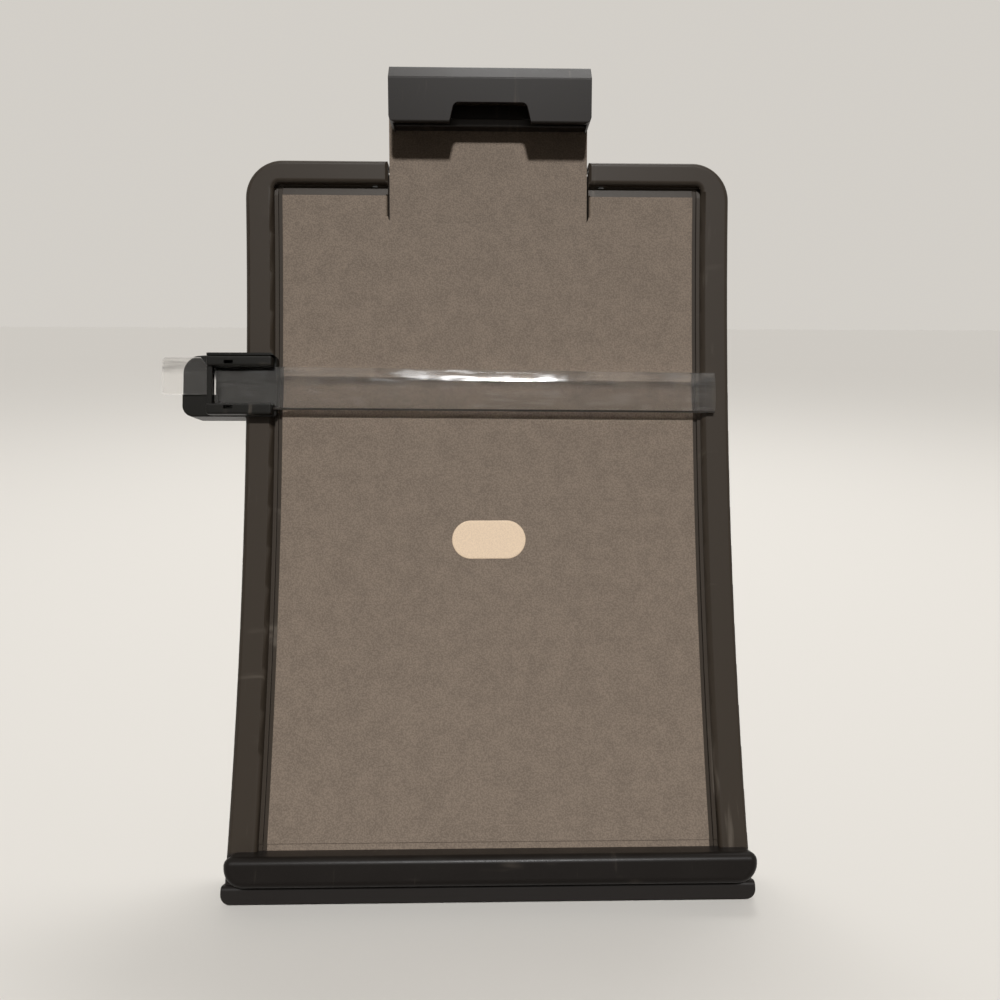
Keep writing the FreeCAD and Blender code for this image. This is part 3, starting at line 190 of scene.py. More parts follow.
def noise(tree, vector, scale, detail, **more):
    """Cloudy noise round 0.5, with scale clouds to the metre."""
    inputs = {"Vector": vector, "Scale": scale, "Detail": detail} | more
    return place_node(tree, "ShaderNodeTexNoise", inputs).outputs[0]


def tilt(tree, shader, height, strength, depth, **more):
    """Bumps the shader's normal by a height: a height of 1 is depth metres high."""
    inputs = {"Height": height, "Strength": strength, "Distance": depth} | more
    tree.links.new(place_node(tree, "ShaderNodeBump", inputs).outputs[0], shader.inputs["Normal"])


def new_material(name):
    """A material, its tree and its shader."""
    material = bpy.data.materials.new(name)
    material.use_nodes = True
    return material, material.node_tree, material.node_tree.nodes["Principled BSDF"]


def new_group(name, inputs, values, normals=()):
    """A shader group, with what it is given and where its results go. Each input is
    (name, number), and each output is a name."""
    tree = bpy.data.node_groups.new(name, "ShaderNodeTree")
    for socket, number in inputs:
        made = tree.interface.new_socket(socket, in_out="INPUT", socket_type="NodeSocketFloat")
        made.default_value = number
    for kind, sockets in (("NodeSocketFloat", values), ("NodeSocketVector", normals)):
        for socket in sockets:
            tree.interface.new_socket(socket, in_out="OUTPUT", socket_type=kind)
    given = tree.nodes.new("NodeGroupInput").outputs
    result = tree.nodes.new("NodeGroupOutput").inputs
    return tree, given, result


def use_group(tree, group, **inputs):
    """Places a group with its inputs and gives its outputs."""
    return place_node(tree, "ShaderNodeGroup", inputs, node_tree=group).outputs


def seeded_place(tree, seed):
    """The place on the piece plus the seed, so that another seed gives another pattern."""
    where = place_node(tree, "ShaderNodeTexCoord").outputs["Object"]
    return place_node(tree, "ShaderNodeVectorMath", {0: where, 1: seed}, operation="ADD").outputs[0]


# %% [markdown]
# The stage is plain: a pale floor under a pale backdrop, both of nearly one colour so
# that the horizon hardly shows. The floor takes the object's shadow. The camera, clear
# plastic and shiny skins see the backdrop's one colour all round. The soft light that
# the surroundings throw is another matter: it comes from a bright wall behind the object
# and a dim room behind the viewer. A pale floor would throw light back up and grey the
# undersides of the black plastic. So the floor is pale where it is seen, but dark for
# the light that it scatters.

# %% Floor and surroundings
BACKGROUND = (0.648, 0.620, 0.577, 1)
ROOM, WALL = 0.06, 0.75
ROOM_ENDS, WALL_STARTS = -0.1, 0.55
FLOOR_SEEN = (0.695, 0.669, 0.628, 1)
FLOOR_SCATTERED = (0.10, 0.09, 0.08, 1)
FLOOR_HALF = 12.0


def plain_plane(name, half, height):
    """A square of four corners at one height."""
    corners = np.array([(-1, -1), (1, -1), (1, 1), (-1, 1)], float) * half
    points = np.column_stack([corners, np.full(4, height)])
    mesh = bpy.data.meshes.new(name)
    mesh.from_pydata(points.tolist(), [], [(0, 1, 2, 3)])
    plane = bpy.data.objects.new(name, mesh)
    bpy.context.scene.collection.objects.link(plane)
    return plane


def seen_directly(tree):
    """1 where the camera, glass or a shiny skin looks, and 0 for scattered light: the
    largest of the three kinds of ray."""
    rays = place_node(tree, "ShaderNodeLightPath").outputs
    found = rays["Is Camera Ray"]
    for kind in ("Is Transmission Ray", "Is Glossy Ray"):
        found = math_node(tree, "MAXIMUM", found, rays[kind])
    return found


floor = plain_plane("floor", FLOOR_HALF, 0.0)
floor_finish, tree, shader = new_material("pale floor")
floor_colour = mixed(tree, seen_directly(tree), FLOOR_SCATTERED, FLOOR_SEEN)
tree.links.new(floor_colour, shader.inputs["Base Color"])
shader.inputs["Roughness"].default_value = 1.0
shader.inputs["Specular IOR Level"].default_value = 0.0
floor.data.materials.append(floor_finish)

world = bpy.data.worlds.new("soft surroundings")
world.use_nodes = True
bpy.context.scene.world = world
sky = world.node_tree
sky.nodes.clear()
way = place_node(sky, "ShaderNodeTexCoord").outputs["Generated"]
back = place_node(sky, "ShaderNodeSeparateXYZ", {"Vector": way}).outputs["Y"]
level = ramp(sky, back, ROOM_ENDS, WALL_STARTS, ROOM, WALL)
strength = place_node(sky, "ShaderNodeMix", {0: seen_directly(sky), 2: level, 3: 1.0}).outputs[0]
glow = place_node(sky, "ShaderNodeBackground", {"Color": BACKGROUND, "Strength": strength})
place_node(sky, "ShaderNodeOutputWorld", {"Surface": glow.outputs[0]})

bpy.context.scene.view_settings.view_transform = "Standard"
print("surroundings: wall", WALL, "room", ROOM)

# %% [markdown]
# One lamp does nearly all the lighting. A shadow tells how high such a lamp stands.
# Where the clip's lip is h over the plate and its shadow falls s down it, the light
# comes in at atan(s / h) above the line square to the plate, and that line itself points
# up by ten degrees. The lamp here stands at forty-nine degrees and almost straight in
# front, which throws a shadow of 12 millimetres. The photographed shadow is nearer 7,
# and would ask for a lamp some thirteen degrees lower, so this height is a difference
# that is still open. A sun lamp lights the floor evenly far and near. Its angle sets how
# soft the shadow's edge is. A small lamp high behind the board does what a ceiling lamp
# does there: it adds little light, but black plastic mirrors it along the clip's bevel,
# the rim and the ledge.

# %% Lamps
KEY_HEIGHT, KEY_SIDE = math.radians(49.0), math.radians(2.7)
KEY_STRENGTH = 2.85
KEY_SOFTNESS = math.radians(5.0)
HIGH_LAMP_PLACE, HIGH_LAMP_AIM = (0.12, 0.85, 1.6), (0, 0.05, 0.3)
HIGH_LAMP_WIDTH, HIGH_LAMP_DEPTH = 0.7, 0.28
HIGH_LAMP_POWER = 10.0


def lamp_at(name, kind, place, target):
    """A lamp at a place, turned so that it looks at the target."""
    data = bpy.data.lights.new(name, kind)
    lamp = bpy.data.objects.new(name, data)
    lamp.location = place
    lamp.rotation_euler = (Vector(target) - Vector(place)).to_track_quat("-Z", "Y").to_euler()
    bpy.context.scene.collection.objects.link(lamp)
    return data


level_reach = math.cos(KEY_HEIGHT)
to_key = Vector((math.sin(KEY_SIDE) * level_reach, -math.cos(KEY_SIDE) * level_reach,
                 math.sin(KEY_HEIGHT)))
key = lamp_at("key lamp", "SUN", to_key, (0, 0, 0))
key.energy = KEY_STRENGTH
key.angle = KEY_SOFTNESS
top = lamp_at("high lamp behind", "AREA", HIGH_LAMP_PLACE, HIGH_LAMP_AIM)
top.shape = "RECTANGLE"
top.size, top.size_y = HIGH_LAMP_WIDTH, HIGH_LAMP_DEPTH
top.energy = HIGH_LAMP_POWER
print("key lamp from", [round(v, 2) for v in to_key])

# %% [markdown]
# The same few effects come back in several finishes, so each one is made once, as a
# group with named inputs. The first is the grain of the panel. Moulded plastic has its
# skin from the mould, and this panel's is a fine leathery grain. It is three layers of
# noise: cells for the pebbles, a fine one for specks, and a softer cloud that makes some
# patches a little lighter. Its size is given in millimetres, as in the other groups,
# because grain that is too coarse makes a part look like a toy.

# %% Group: moulded grain
PEBBLE_HEIGHT = 0.8
SPECKS_FROM, SPECKS_TO = 0.36, 0.64
SPECK_SHARE = 0.75
CLOUD_SCALE = 0.09
CLOUDS_FROM, CLOUDS_TO = 0.35, 0.65

grain_group, given, result = new_group(
    "moulded grain", [("Size", 0.8), ("Seed", 0.0)], ["Height", "Tone"])
tree = grain_group
where = seeded_place(tree, given["Seed"])
per_metre = math_node(tree, "DIVIDE", 1 / MM, given["Size"])
pebbles = place_node(tree, "ShaderNodeTexVoronoi", {"Vector": where, "Scale": per_metre})
fine = noise(tree, where, per_metre, 1.0)
cloud = noise(tree, where, times(tree, per_metre, CLOUD_SCALE), 2.0)
specks = times(tree, ramp(tree, fine, SPECKS_FROM, SPECKS_TO), SPECK_SHARE)
clouds = times(tree, ramp(tree, cloud, CLOUDS_FROM, CLOUDS_TO), 1 - SPECK_SHARE)
pebbly = times(tree, pebbles.outputs["Distance"], PEBBLE_HEIGHT)
tree.links.new(plus(tree, pebbly, fine), result["Height"])
tree.links.new(plus(tree, specks, clouds), result["Tone"])

# %% [markdown]
# The smooth parts have a skin too, far finer than the panel's grain. One cheap noise is
# enough for it, and it matters that it is cheap: a bump looks its height up three times
# for every ray that meets the surface.

# %% Group: moulded skin
skin_group, given, result = new_group(
    "moulded skin", [("Size", 0.35), ("Seed", 0.0)], ["Height", "Tone"])
tree = skin_group
per_metre = math_node(tree, "DIVIDE", 1 / MM, given["Size"])
fine = noise(tree, seeded_place(tree, given["Seed"]), per_metre, 1.0)
tree.links.new(fine, result["Height"])
tree.links.new(ramp(tree, fine, SPECKS_FROM, SPECKS_TO), result["Tone"])

# %% [markdown]
# Years on a desk leave rubs on smooth plastic: thin pale streaks that come in patches,
# and a soft bloom of dust on whatever faces up. Streaks are noise that is stretched a
# long way in one direction, cut off so that only its peaks are left.

# %% Group: rubs and dust
STREAK_RUNS = ((0.25, (1.0, 0.12, 0.12)), (-0.5, (0.1, 1.0, 0.3)))
STREAK_TIP = 0.2
STREAKS_FROM, STREAKS_TO = 0.60, 0.74
STREAK_FINENESS = 0.62
PATCH_SCALE = 0.22
PATCHES_FROM, PATCHES_TO = 0.42, 0.66
DUST_FROM, DUST_TO = 0.2, 0.95
DUST_EVEN = 0.5

rubs_group, given, result = new_group(
    "rubs and dust", [("Amount", 0.5), ("Size", 6.0), ("Seed", 0.0)], ["Rubs", "Dust"])
tree = rubs_group
where = seeded_place(tree, given["Seed"])
per_metre = math_node(tree, "DIVIDE", 1 / MM, given["Size"])
streaks = []
for turn, stretch in STREAK_RUNS:
    run = {"Vector": where, "Rotation": (STREAK_TIP, turn, turn), "Scale": stretch}
    drawn_out = place_node(tree, "ShaderNodeMapping", run).outputs[0]
    lines = noise(tree, drawn_out, per_metre, 3.0, Roughness=STREAK_FINENESS)
    streaks.append(ramp(tree, lines, STREAKS_FROM, STREAKS_TO))
patches = noise(tree, where, times(tree, per_metre, PATCH_SCALE), 1.0)
patchy = ramp(tree, patches, PATCHES_FROM, PATCHES_TO)
rubbed = times(tree, math_node(tree, "MAXIMUM", *streaks), patchy)
facing = place_node(tree, "ShaderNodeNewGeometry").outputs["Normal"]
rise = place_node(tree, "ShaderNodeSeparateXYZ", {"Vector": facing}).outputs["Z"]
uneven = plus(tree, times(tree, patchy, 1 - DUST_EVEN), DUST_EVEN)
settled = times(tree, ramp(tree, rise, DUST_FROM, DUST_TO), uneven)
tree.links.new(times(tree, rubbed, given["Amount"]), result["Rubs"])
tree.links.new(times(tree, settled, given["Amount"]), result["Dust"])

# %% [markdown]
# Corners wear first. Where a surface turns sharply, a rounded copy of its normal points
# another way than the true one, and one minus the dot product of the two marks the
# edges. The same rounded normal also takes the razor edge off a part, as a real mould
# does.

# %% Group: worn edges
EDGES_FROM, EDGES_TO = 0.02, 0.3

edge_group, given, result = new_group(
    "worn edges", [("Radius", 0.0005), ("Amount", 0.5)], ["Mask"], ["Normal"])
tree = edge_group
rounded = place_node(tree, "ShaderNodeBevel", {"Radius": given["Radius"]}, samples=4).outputs[0]
true = place_node(tree, "ShaderNodeNewGeometry").outputs["Normal"]
agree = place_node(tree, "ShaderNodeVectorMath", {0: rounded, 1: true}, operation="DOT_PRODUCT")
turned_away = math_node(tree, "SUBTRACT", 1.0, agree.outputs["Value"])
edges = ramp(tree, turned_away, EDGES_FROM, EDGES_TO)
tree.links.new(times(tree, edges, given["Amount"]), result["Mask"])
tree.links.new(rounded, result["Normal"])

# %% [markdown]
# The board is one moulding with two finishes: the grained panel in the middle, and
# smooth rails round it. To know which is which, a material can work out where it is on
# the board: the distance from the curve's centre line gives how proud a point stands,
# and the angle about that line gives how far up the board it is. All three results are
# in millimetres.

# %% Group: place on the board
board_group, given, result = new_group("place on the board", [], ["Across", "Along", "Proud"])
tree = board_group
here = place_node(tree, "ShaderNodeTexCoord").outputs["Object"]
split = place_node(tree, "ShaderNodeSeparateXYZ", {"Vector": here}).outputs
forward = math_node(tree, "SUBTRACT", split["Y"], CURVE_CENTRE[0])
down = math_node(tree, "SUBTRACT", CURVE_CENTRE[1], split["Z"])
squares = plus(tree, times(tree, forward, forward), times(tree, down, down))
sunk = math_node(tree, "SUBTRACT", FACE_RADIUS, math_node(tree, "SQRT", squares))
lean = math_node(tree, "ARCTAN2", down, forward)
climbed = math_node(tree, "SUBTRACT", LEAN_AT_LEDGE, lean)
sideways = math_node(tree, "ABSOLUTE", split["X"])
tree.links.new(times(tree, sideways, 1 / MM), result["Across"])
tree.links.new(times(tree, climbed, FACE_RADIUS / MM), result["Along"])
tree.links.new(times(tree, sunk, 1 / MM), result["Proud"])

# %% [markdown]
# Now the board's own plastic. It is black, but the grained panel scatters the light and
# reads as a warm mid grey, while the smooth rails stay dark and a little glossy. The
# mask of the panel is a product of smooth steps: between the grooves, below the top
# bevel and on the face rather than on the rim. The plate is grained all over its front
# and the rear cover nowhere, so their limits lie wide of the piece or off it.

# %% Finish: board plastic
PANEL_GREY = (0.252, 0.197, 0.151, 1)
PANEL_DARK = (0.172, 0.134, 0.103, 1)
RAIL_GREY = (0.036, 0.027, 0.019, 1)
RUB_GREY = (0.15, 0.125, 0.10, 1)
EDGE_GREY = (0.13, 0.11, 0.09, 1)
# The next two lines are a painted shade. The base below the ledge lies in the ledge's shadow, so it
# is painted nearly black up to the given height.
PAINTED_SHADE_UNDER_LEDGE = (0.008, 0.006, 0.005, 1)
SHADE_UNDER_LEDGE_TOP, SHADE_UNDER_LEDGE_STEP = -0.5, 1.0
SIDE_STEP, TOP_STEP, FACE_STEP = 0.15, 0.2, 0.1
RAIL_ROUGH, PANEL_ROUGH, SKIN_ROUGH = 0.40, 0.62, 0.10
SKIN_HEIGHT = 0.12
BOARD_PANEL = {"half": 102.3, "top": 314.7, "low": -0.6, "high": 0.4}
PLATE_PANEL = {"half": 60.0, "top": 500.0, "low": -2.9, "high": 20.0}
NO_PANEL = {"half": 0.0, "top": 0.0, "low": 90.0, "high": 91.0}


def board_plastic(name, half, top, low, high):
    """Grained grey inside the panel's limits, smooth dark plastic outside, both rubbed,
    and a painted shade, nearly black, on the base below the ledge, where the ledge's
    shadow falls. The limits are in millimetres: half its width, its top, and how proud it
    stands."""
    material, tree, shader = new_material(name)
    place = use_group(tree, board_group)
    grain = use_group(tree, grain_group, Size=0.75)
    skin = use_group(tree, skin_group, Size=0.35, Seed=3.0)
    rubs = use_group(tree, rubs_group, Amount=0.55, Size=7.0)
    worn = use_group(tree, edge_group, Radius=0.0005, Amount=0.5)
    inside = under(tree, place["Across"], half, SIDE_STEP)
    below = under(tree, place["Along"], top, TOP_STEP)
    on_face = times(tree, above(tree, place["Proud"], low, FACE_STEP),
                    under(tree, place["Proud"], high, FACE_STEP))
    panel = times(tree, times(tree, inside, below), on_face)
    grey = mixed(tree, grain["Tone"], PANEL_DARK, PANEL_GREY)
    smooth = mixed(tree, rubs["Rubs"], RAIL_GREY, RUB_GREY)
    # Below the ledge the smooth plastic is painted nearly black: painted shade for the ledge's
    # shadow.
    smooth = mixed(tree, above(tree, place["Along"], SHADE_UNDER_LEDGE_TOP, SHADE_UNDER_LEDGE_STEP), PAINTED_SHADE_UNDER_LEDGE, smooth)
    smooth = mixed(tree, worn["Mask"], smooth, EDGE_GREY)
    tree.links.new(mixed(tree, panel, smooth, grey), shader.inputs["Base Color"])
    evenly = {"Value": panel, "To Min": RAIL_ROUGH, "To Max": PANEL_ROUGH}
    rough = place_node(tree, "ShaderNodeMapRange", evenly).outputs[0]
    rough = plus(tree, rough, times(tree, skin["Tone"], SKIN_ROUGH))
    tree.links.new(rough, shader.inputs["Roughness"])
    height = plus(tree, times(tree, grain["Height"], panel),
                  times(tree, skin["Height"], SKIN_HEIGHT))
    tilt(tree, shader, height, 0.55, 0.00012, Normal=worn["Normal"])
    shader.inputs["Specular IOR Level"].default_value = 0.2
    return material


board_finish = board_plastic("board plastic", **BOARD_PANEL)
plate_finish = board_plastic("plate plastic", **PLATE_PANEL)
cover_finish = board_plastic("cover plastic", **NO_PANEL)
print("board plastics:", [finish.name for finish in (board_finish, plate_finish, cover_finish)])

# %% [markdown]
# The ledge, the clip, the guide and the leg are a harder, darker plastic with a satin
# skin. Black plastic is mostly its reflections, so its colour is simple and the work is
# in the roughness: a faint skin texture, rubs that dull it and edges that are a touch
# brighter from handling.

# %% Finish: satin black plastic
DUST_GREY = (0.25, 0.23, 0.20, 1)
SHADED, HANDLED = 0.7, 2.6
DUST_SHARE = 0.10
SATIN_SPREAD, DULLING = 0.08, 0.3


def satin_plastic(name, colour, rough, shine, rubbing, seed):
    """Dark plastic with a faint skin, pale rubs and worn edges. Its roughness is rough,
    plus a little of the skin's tone, plus a share of the larger of rubs and dust."""
    material, tree, shader = new_material(name)
    shader.inputs["Specular IOR Level"].default_value = shine
    skin = use_group(tree, skin_group, Size=0.30, Seed=seed)
    rubs = use_group(tree, rubs_group, Amount=rubbing, Size=5.0, Seed=seed)
    worn = use_group(tree, edge_group, Radius=0.0004, Amount=0.35)
    base = mixed(tree, skin["Tone"], scaled(colour, SHADED), colour)
    base = mixed(tree, rubs["Rubs"], base, RUB_GREY)
    base = mixed(tree, worn["Mask"], base, scaled(colour, HANDLED))
    base = mixed(tree, times(tree, rubs["Dust"], DUST_SHARE), base, DUST_GREY)
    tree.links.new(base, shader.inputs["Base Color"])
    dull = times(tree, math_node(tree, "MAXIMUM", rubs["Rubs"], rubs["Dust"]), DULLING)
    clean = plus(tree, times(tree, skin["Tone"], SATIN_SPREAD), rough)
    tree.links.new(plus(tree, clean, dull), shader.inputs["Roughness"])
    tilt(tree, shader, skin["Height"], 0.25, 0.00005, Normal=worn["Normal"])
    return material


ledge_finish = satin_plastic("ledge plastic", (0.007, 0.005, 0.004, 1), 0.28, 0.16, 0.25, 1.0)
clip_finish = satin_plastic("clip plastic", (0.013, 0.010, 0.008, 1), 0.40, 0.17, 0.25, 2.0)
guide_finish = satin_plastic("guide plastic", (0.007, 0.0065, 0.005, 1), 0.34, 0.17, 0.3, 5.0)
leg_finish = satin_plastic("leg plastic", (0.022, 0.020, 0.018, 1), 0.45, 0.25, 0.4, 7.0)

# %% [markdown]
# The strip's painted edge shade, steel, rubber and paper share one recipe: a skin whose
# tone wanders, and a colour, a roughness and a bump that follow it. It is made once here, and each
# finish below
# gives it its own values.

# %% Helper: mottled skin


def mottled(tree, shader, size, seed, dark, light, rough, spread, strength, depth):
    """With the skin's tone t from 0 to 1, the roughness is rough + spread t, the bump
    follows the skin's height, and the colour given back goes from dark to light."""
    skin = use_group(tree, skin_group, Size=size, Seed=seed)
    wandering = plus(tree, times(tree, skin["Tone"], spread), rough)
    tree.links.new(wandering, shader.inputs["Roughness"])
    tilt(tree, shader, skin["Height"], strength, depth)
    return mixed(tree, skin["Tone"], dark, light)


# %% [markdown]
# The line guide's strip is clear acrylic. A glass-like shader needs very little: full
# transmission and the refractive index of acrylic. What makes it believable is what
# spoils it and what is painted on it. Its upper slope is darkened in long streaks, a
# painted reflection of the dim room that this slope mirrors. Fine scratches dull it in
# patches. The lower edge carries a painted shade, a nearly black band for the thin dark
# shadow that this edge throws on the board. The strip's own coordinates run along it (u)
# and across it (v), both in metres, so streaks follow the strip wherever it slides.

# %% Finish: clear strip and its painted edge shade
CLEAN_ACRYLIC = (1.0, 0.99, 0.98, 1)
# The next colour is a painted reflection: the dim room mirrored darkly in the upper slope.
DARK_REFLECTION_ACRYLIC = (0.50, 0.49, 0.48, 1)
STREAK_SCALE, SMEAR_SCALE = (40.0, 420.0, 1.0), 55.0
SLOPE_FROM, SLOPE_TO = 0.0005, 0.0050
LINES_FROM, LINES_TO = 0.40, 0.62
SMEARS_FROM, SMEARS_TO = 0.38, 0.62
LINE_SHARE = 0.75
CLEAN_ROUGH, SCRATCH_ROUGH = 0.06, 0.16
# The two colours on the next line are the painted shade along the strip's lower edge: a nearly
# black band for the thin shadow that this edge throws on the board.
EDGE_SHADE_DARK, EDGE_SHADE_LIGHT = (0.008, 0.006, 0.004, 1), (0.020, 0.014, 0.009, 1)

strip_finish, tree, shader = new_material("clear acrylic")
lying = place_node(tree, "ShaderNodeUVMap", uv_map="strip").outputs[0]
upward = place_node(tree, "ShaderNodeSeparateXYZ", {"Vector": lying}).outputs["Y"]
drawn_out = place_node(tree, "ShaderNodeMapping", {"Vector": lying, "Scale": STREAK_SCALE})
lines = noise(tree, drawn_out.outputs[0], 1.0, 3.0)
streaky = ramp(tree, lines, LINES_FROM, LINES_TO)
smeared = ramp(tree, noise(tree, lying, SMEAR_SCALE, 2.0), SMEARS_FROM, SMEARS_TO)
reflection_streaks = plus(tree, times(tree, streaky, LINE_SHARE), 1 - LINE_SHARE)
# The upper slope is darkened in streaks: a painted reflection of the dim room that this slope
# mirrors.
painted_reflection = times(tree, reflection_streaks, ramp(tree, upward, SLOPE_FROM, SLOPE_TO))
clear = mixed(tree, painted_reflection, CLEAN_ACRYLIC, DARK_REFLECTION_ACRYLIC)
tree.links.new(clear, shader.inputs["Base Color"])
scratched = times(tree, times(tree, streaky, smeared), SCRATCH_ROUGH)
tree.links.new(plus(tree, scratched, CLEAN_ROUGH), shader.inputs["Roughness"])
tilt(tree, shader, lines, 0.05, 0.00006)
shader.inputs["Transmission Weight"].default_value = 1.0
shader.inputs["IOR"].default_value = 1.49

# The lower edge's finish is painted shade, nearly black, standing in for the thin dark shadow along
# the strip's lower edge.
edge_shade_finish, tree, shader = new_material("painted edge shade")
edge_shade = mottled(tree, shader, size=0.8, seed=31.0, dark=EDGE_SHADE_DARK, light=EDGE_SHADE_LIGHT,
              rough=0.45, spread=0.2, strength=0.1, depth=0.00003)
tree.links.new(edge_shade, shader.inputs["Base Color"])

# %% [markdown]
# The small hardware is steel. Screws are zinc plated and faintly bluish, and spring wire
# and strip are a brighter, warmer metal. Both are slightly mottled.

# %% Finish: steels
STEEL_SHADE = 0.72


def steel(name, colour, rough, seed):
    """Metal whose roughness and brightness wander a little."""
    material, tree, shader = new_material(name)
    shader.inputs["Metallic"].default_value = 1.0
    metal = mottled(tree, shader, size=1.2, seed=seed, dark=scaled(colour, STEEL_SHADE),
                    light=colour, rough=rough, spread=0.15, strength=0.2, depth=0.00003)
    tree.links.new(metal, shader.inputs["Base Color"])
    return material


screw_finish = steel("zinc plated steel", (0.62, 0.63, 0.64, 1), 0.28, 11.0)
spring_finish = steel("spring steel", (0.55, 0.54, 0.51, 1), 0.22, 12.0)

# %% [markdown]
# Rubber is matt, nearly black and never quite even. The feet have picked up dust from
# the desk.

# %% Finish: rubber
RUBBER_DARK, RUBBER_LIGHT = (0.012, 0.012, 0.012, 1), (0.028, 0.027, 0.026, 1)
SCUFF_GREY = (0.16, 0.15, 0.14, 1)

rubber_finish, tree, shader = new_material("rubber")
rubber = mottled(tree, shader, size=0.5, seed=15.0, dark=RUBBER_DARK, light=RUBBER_LIGHT,
                 rough=0.72, spread=0.15, strength=0.4, depth=0.0001)
scuffs = use_group(tree, rubs_group, Amount=0.7, Size=3.0, Seed=15.0)
tree.links.new(mixed(tree, scuffs["Rubs"], rubber, SCUFF_GREY), shader.inputs["Base Color"])

# %% [markdown]
# The sticker is cream paper with a thin varnish. Paper fibre shows as a faint cloud, and
# its rolled rim is painted a little darker: painted shade along the edge.

# %% Finish: sticker paper
PAPER_DARK, PAPER_LIGHT = (0.80, 0.61, 0.43, 1), (0.88, 0.68, 0.48, 1)
RIM_SHADE = (0.55, 0.40, 0.27, 1)

paper_finish, tree, shader = new_material("cream paper")
paper = mottled(tree, shader, size=0.6, seed=21.0, dark=PAPER_DARK, light=PAPER_LIGHT,
                rough=0.5, spread=0.1, strength=0.15, depth=0.00005)
rim = use_group(tree, edge_group, Radius=0.0006, Amount=0.5)
# The rim mask paints the paper darker along its edge: painted shade on the rolled rim.
tree.links.new(mixed(tree, rim["Mask"], paper, RIM_SHADE), shader.inputs["Base Color"])
print("finishes:", len(bpy.data.materials), "with", len(bpy.data.node_groups), "groups")

# %% [markdown]
# Two pieces are worked out as surfaces instead of taken from the measured parts: the
# clear strip, whose soft bevels decide how it shines, and the sticker, whose rim should
# be rounded like cut paper. Both are closed lofts: a stack of rings with the same number
# of points each, joined ring to ring, and capped at both ends. Which way the faces look
# depends on the way the rings turn. These two pieces' rings turn clockwise, seen from
# their last ring, so their faces look inwards. That is a fault, and it is still open.

# %% Helper: closed loft


def closed_loft(name, rings):
    """Rings (count, points, 3) become one closed skin. Face (i, j) joins point j of ring
    i to point j + 1 of ring i + 1, with the last point joined back to the first. Faces
    look outwards where the rings turn anticlockwise, seen from the last ring."""
    count, around = rings.shape[:2]
    i, j = np.meshgrid(np.arange(count - 1), np.arange(around), indexing="ij")
    here, there = i * around, (i + 1) * around
    after = (j + 1) % around
    quads = np.stack([here + j, here + after, there + after, there + j], axis=-1)
    first = np.arange(around)[::-1]
    last = np.arange(around) + (count - 1) * around
    faces = quads.reshape(-1, 4).tolist() + [first.tolist(), last.tolist()]
    mesh = bpy.data.meshes.new(name)
    mesh.from_pydata(rings.reshape(-1, 3).tolist(), [], faces)
    mesh.update()
    piece = bpy.data.objects.new(name, mesh)
    bpy.context.scene.collection.objects.link(piece)
    return piece


def smooth_by_angle(mesh, degrees):
    """Smooth shading, except where two faces meet at more than the angle."""
    mesh.shade_smooth()
    mesh.set_sharp_from_angle(angle=math.radians(degrees))


# %% [markdown]
# The strip lies flat on the guide's floor, in a plane that touches the board's curve at
# the guide. Its section is a flat back, two short sides and three facets in front. Each
# corner of that section is cut by a short chamfer, as on a real moulding. Along the
# strip the section's two ends follow the pull tab's outline, then the full width, and
# then the slow taper to the free end. The facets follow the strip's middle line.

# %% Piece: clear strip
GUIDE_AT = 0.219
STRIP_BED, STRIP_EDGE, STRIP_TOP = 0.0039, 0.0051, 0.0067
HALF_WIDTH, FLAT_HALF, TAPER = 0.0105, 0.0039, 0.0013
TAB_END, TAB_SHOULDER, FRAME_LEFT = -0.1596, -0.1410, -0.137
BAND_START, TAPER_START, STRIP_END = -0.1336, -0.1042, 0.1121
TAB_LOW, TAB_HIGH, TAB_NECK = -0.0043, 0.0140, 0.0088
TAB_CORNER = 0.002
STRIP_DROP, STRIP_TILT = 0.0009, math.radians(0.35)
# The next width is that of the painted shade band along the strip's lower edge.
EDGE_SHADE_WIDTH = 0.0008
CHAMFER, RIDGE_HALF = 0.00012, 0.0006
BAND_STEP = 0.00001
CORNER_RINGS, BAND_RINGS = 7, 60
LOWER_CORNER, UPPER_CORNER = 3, 9
# The columns on the next line carry the painted edge shade.
EDGE_SHADE_COLUMNS = (0, 1, 2, 3, 13)
STRIP_SHARP = 8


def on_guide(x, across, proud):
    """Points of the guide's own plane: it touches the board at GUIDE_AT, and there it is
    turned back by the board's lean."""
    lean = LEAN_AT_LEDGE - GUIDE_AT / FACE_RADIUS
    origin = on_board(0.0, GUIDE_AT, 0.0)
    y = origin[1] + across * math.sin(lean) - proud * math.cos(lean)
    z = origin[2] + across * math.cos(lean) + proud * math.sin(lean)
    return np.stack(np.broadcast_arrays(x, y, z), axis=-1)


def strip_ends(x):
    """The section's lower and upper end at every x. A round corner of radius r draws in
    by r - sqrt(r^2 - d^2) at a distance d into the corner. The band runs down by the
    tangent of its tilt, and its upper end tapers evenly."""
    into = np.clip(TAB_END + TAB_CORNER - x, 0, TAB_CORNER)
    drawn_in = TAB_CORNER - np.sqrt(TAB_CORNER ** 2 - into ** 2)
    neck = np.clip((x - TAB_SHOULDER) / (FRAME_LEFT - TAB_SHOULDER), 0, 1)
    middle = -STRIP_DROP - (x - FRAME_LEFT) * math.tan(STRIP_TILT)
    taper = TAPER * np.clip((x - TAPER_START) / (STRIP_END - TAPER_START), 0, 1)
    is_band = x >= BAND_START
    low = np.where(is_band, middle - HALF_WIDTH, TAB_LOW + drawn_in)
    tab_high = TAB_HIGH - drawn_in - neck * (TAB_HIGH - TAB_NECK)
    high = np.where(is_band, middle + HALF_WIDTH - taper, tab_high)
    return is_band, middle, low, high


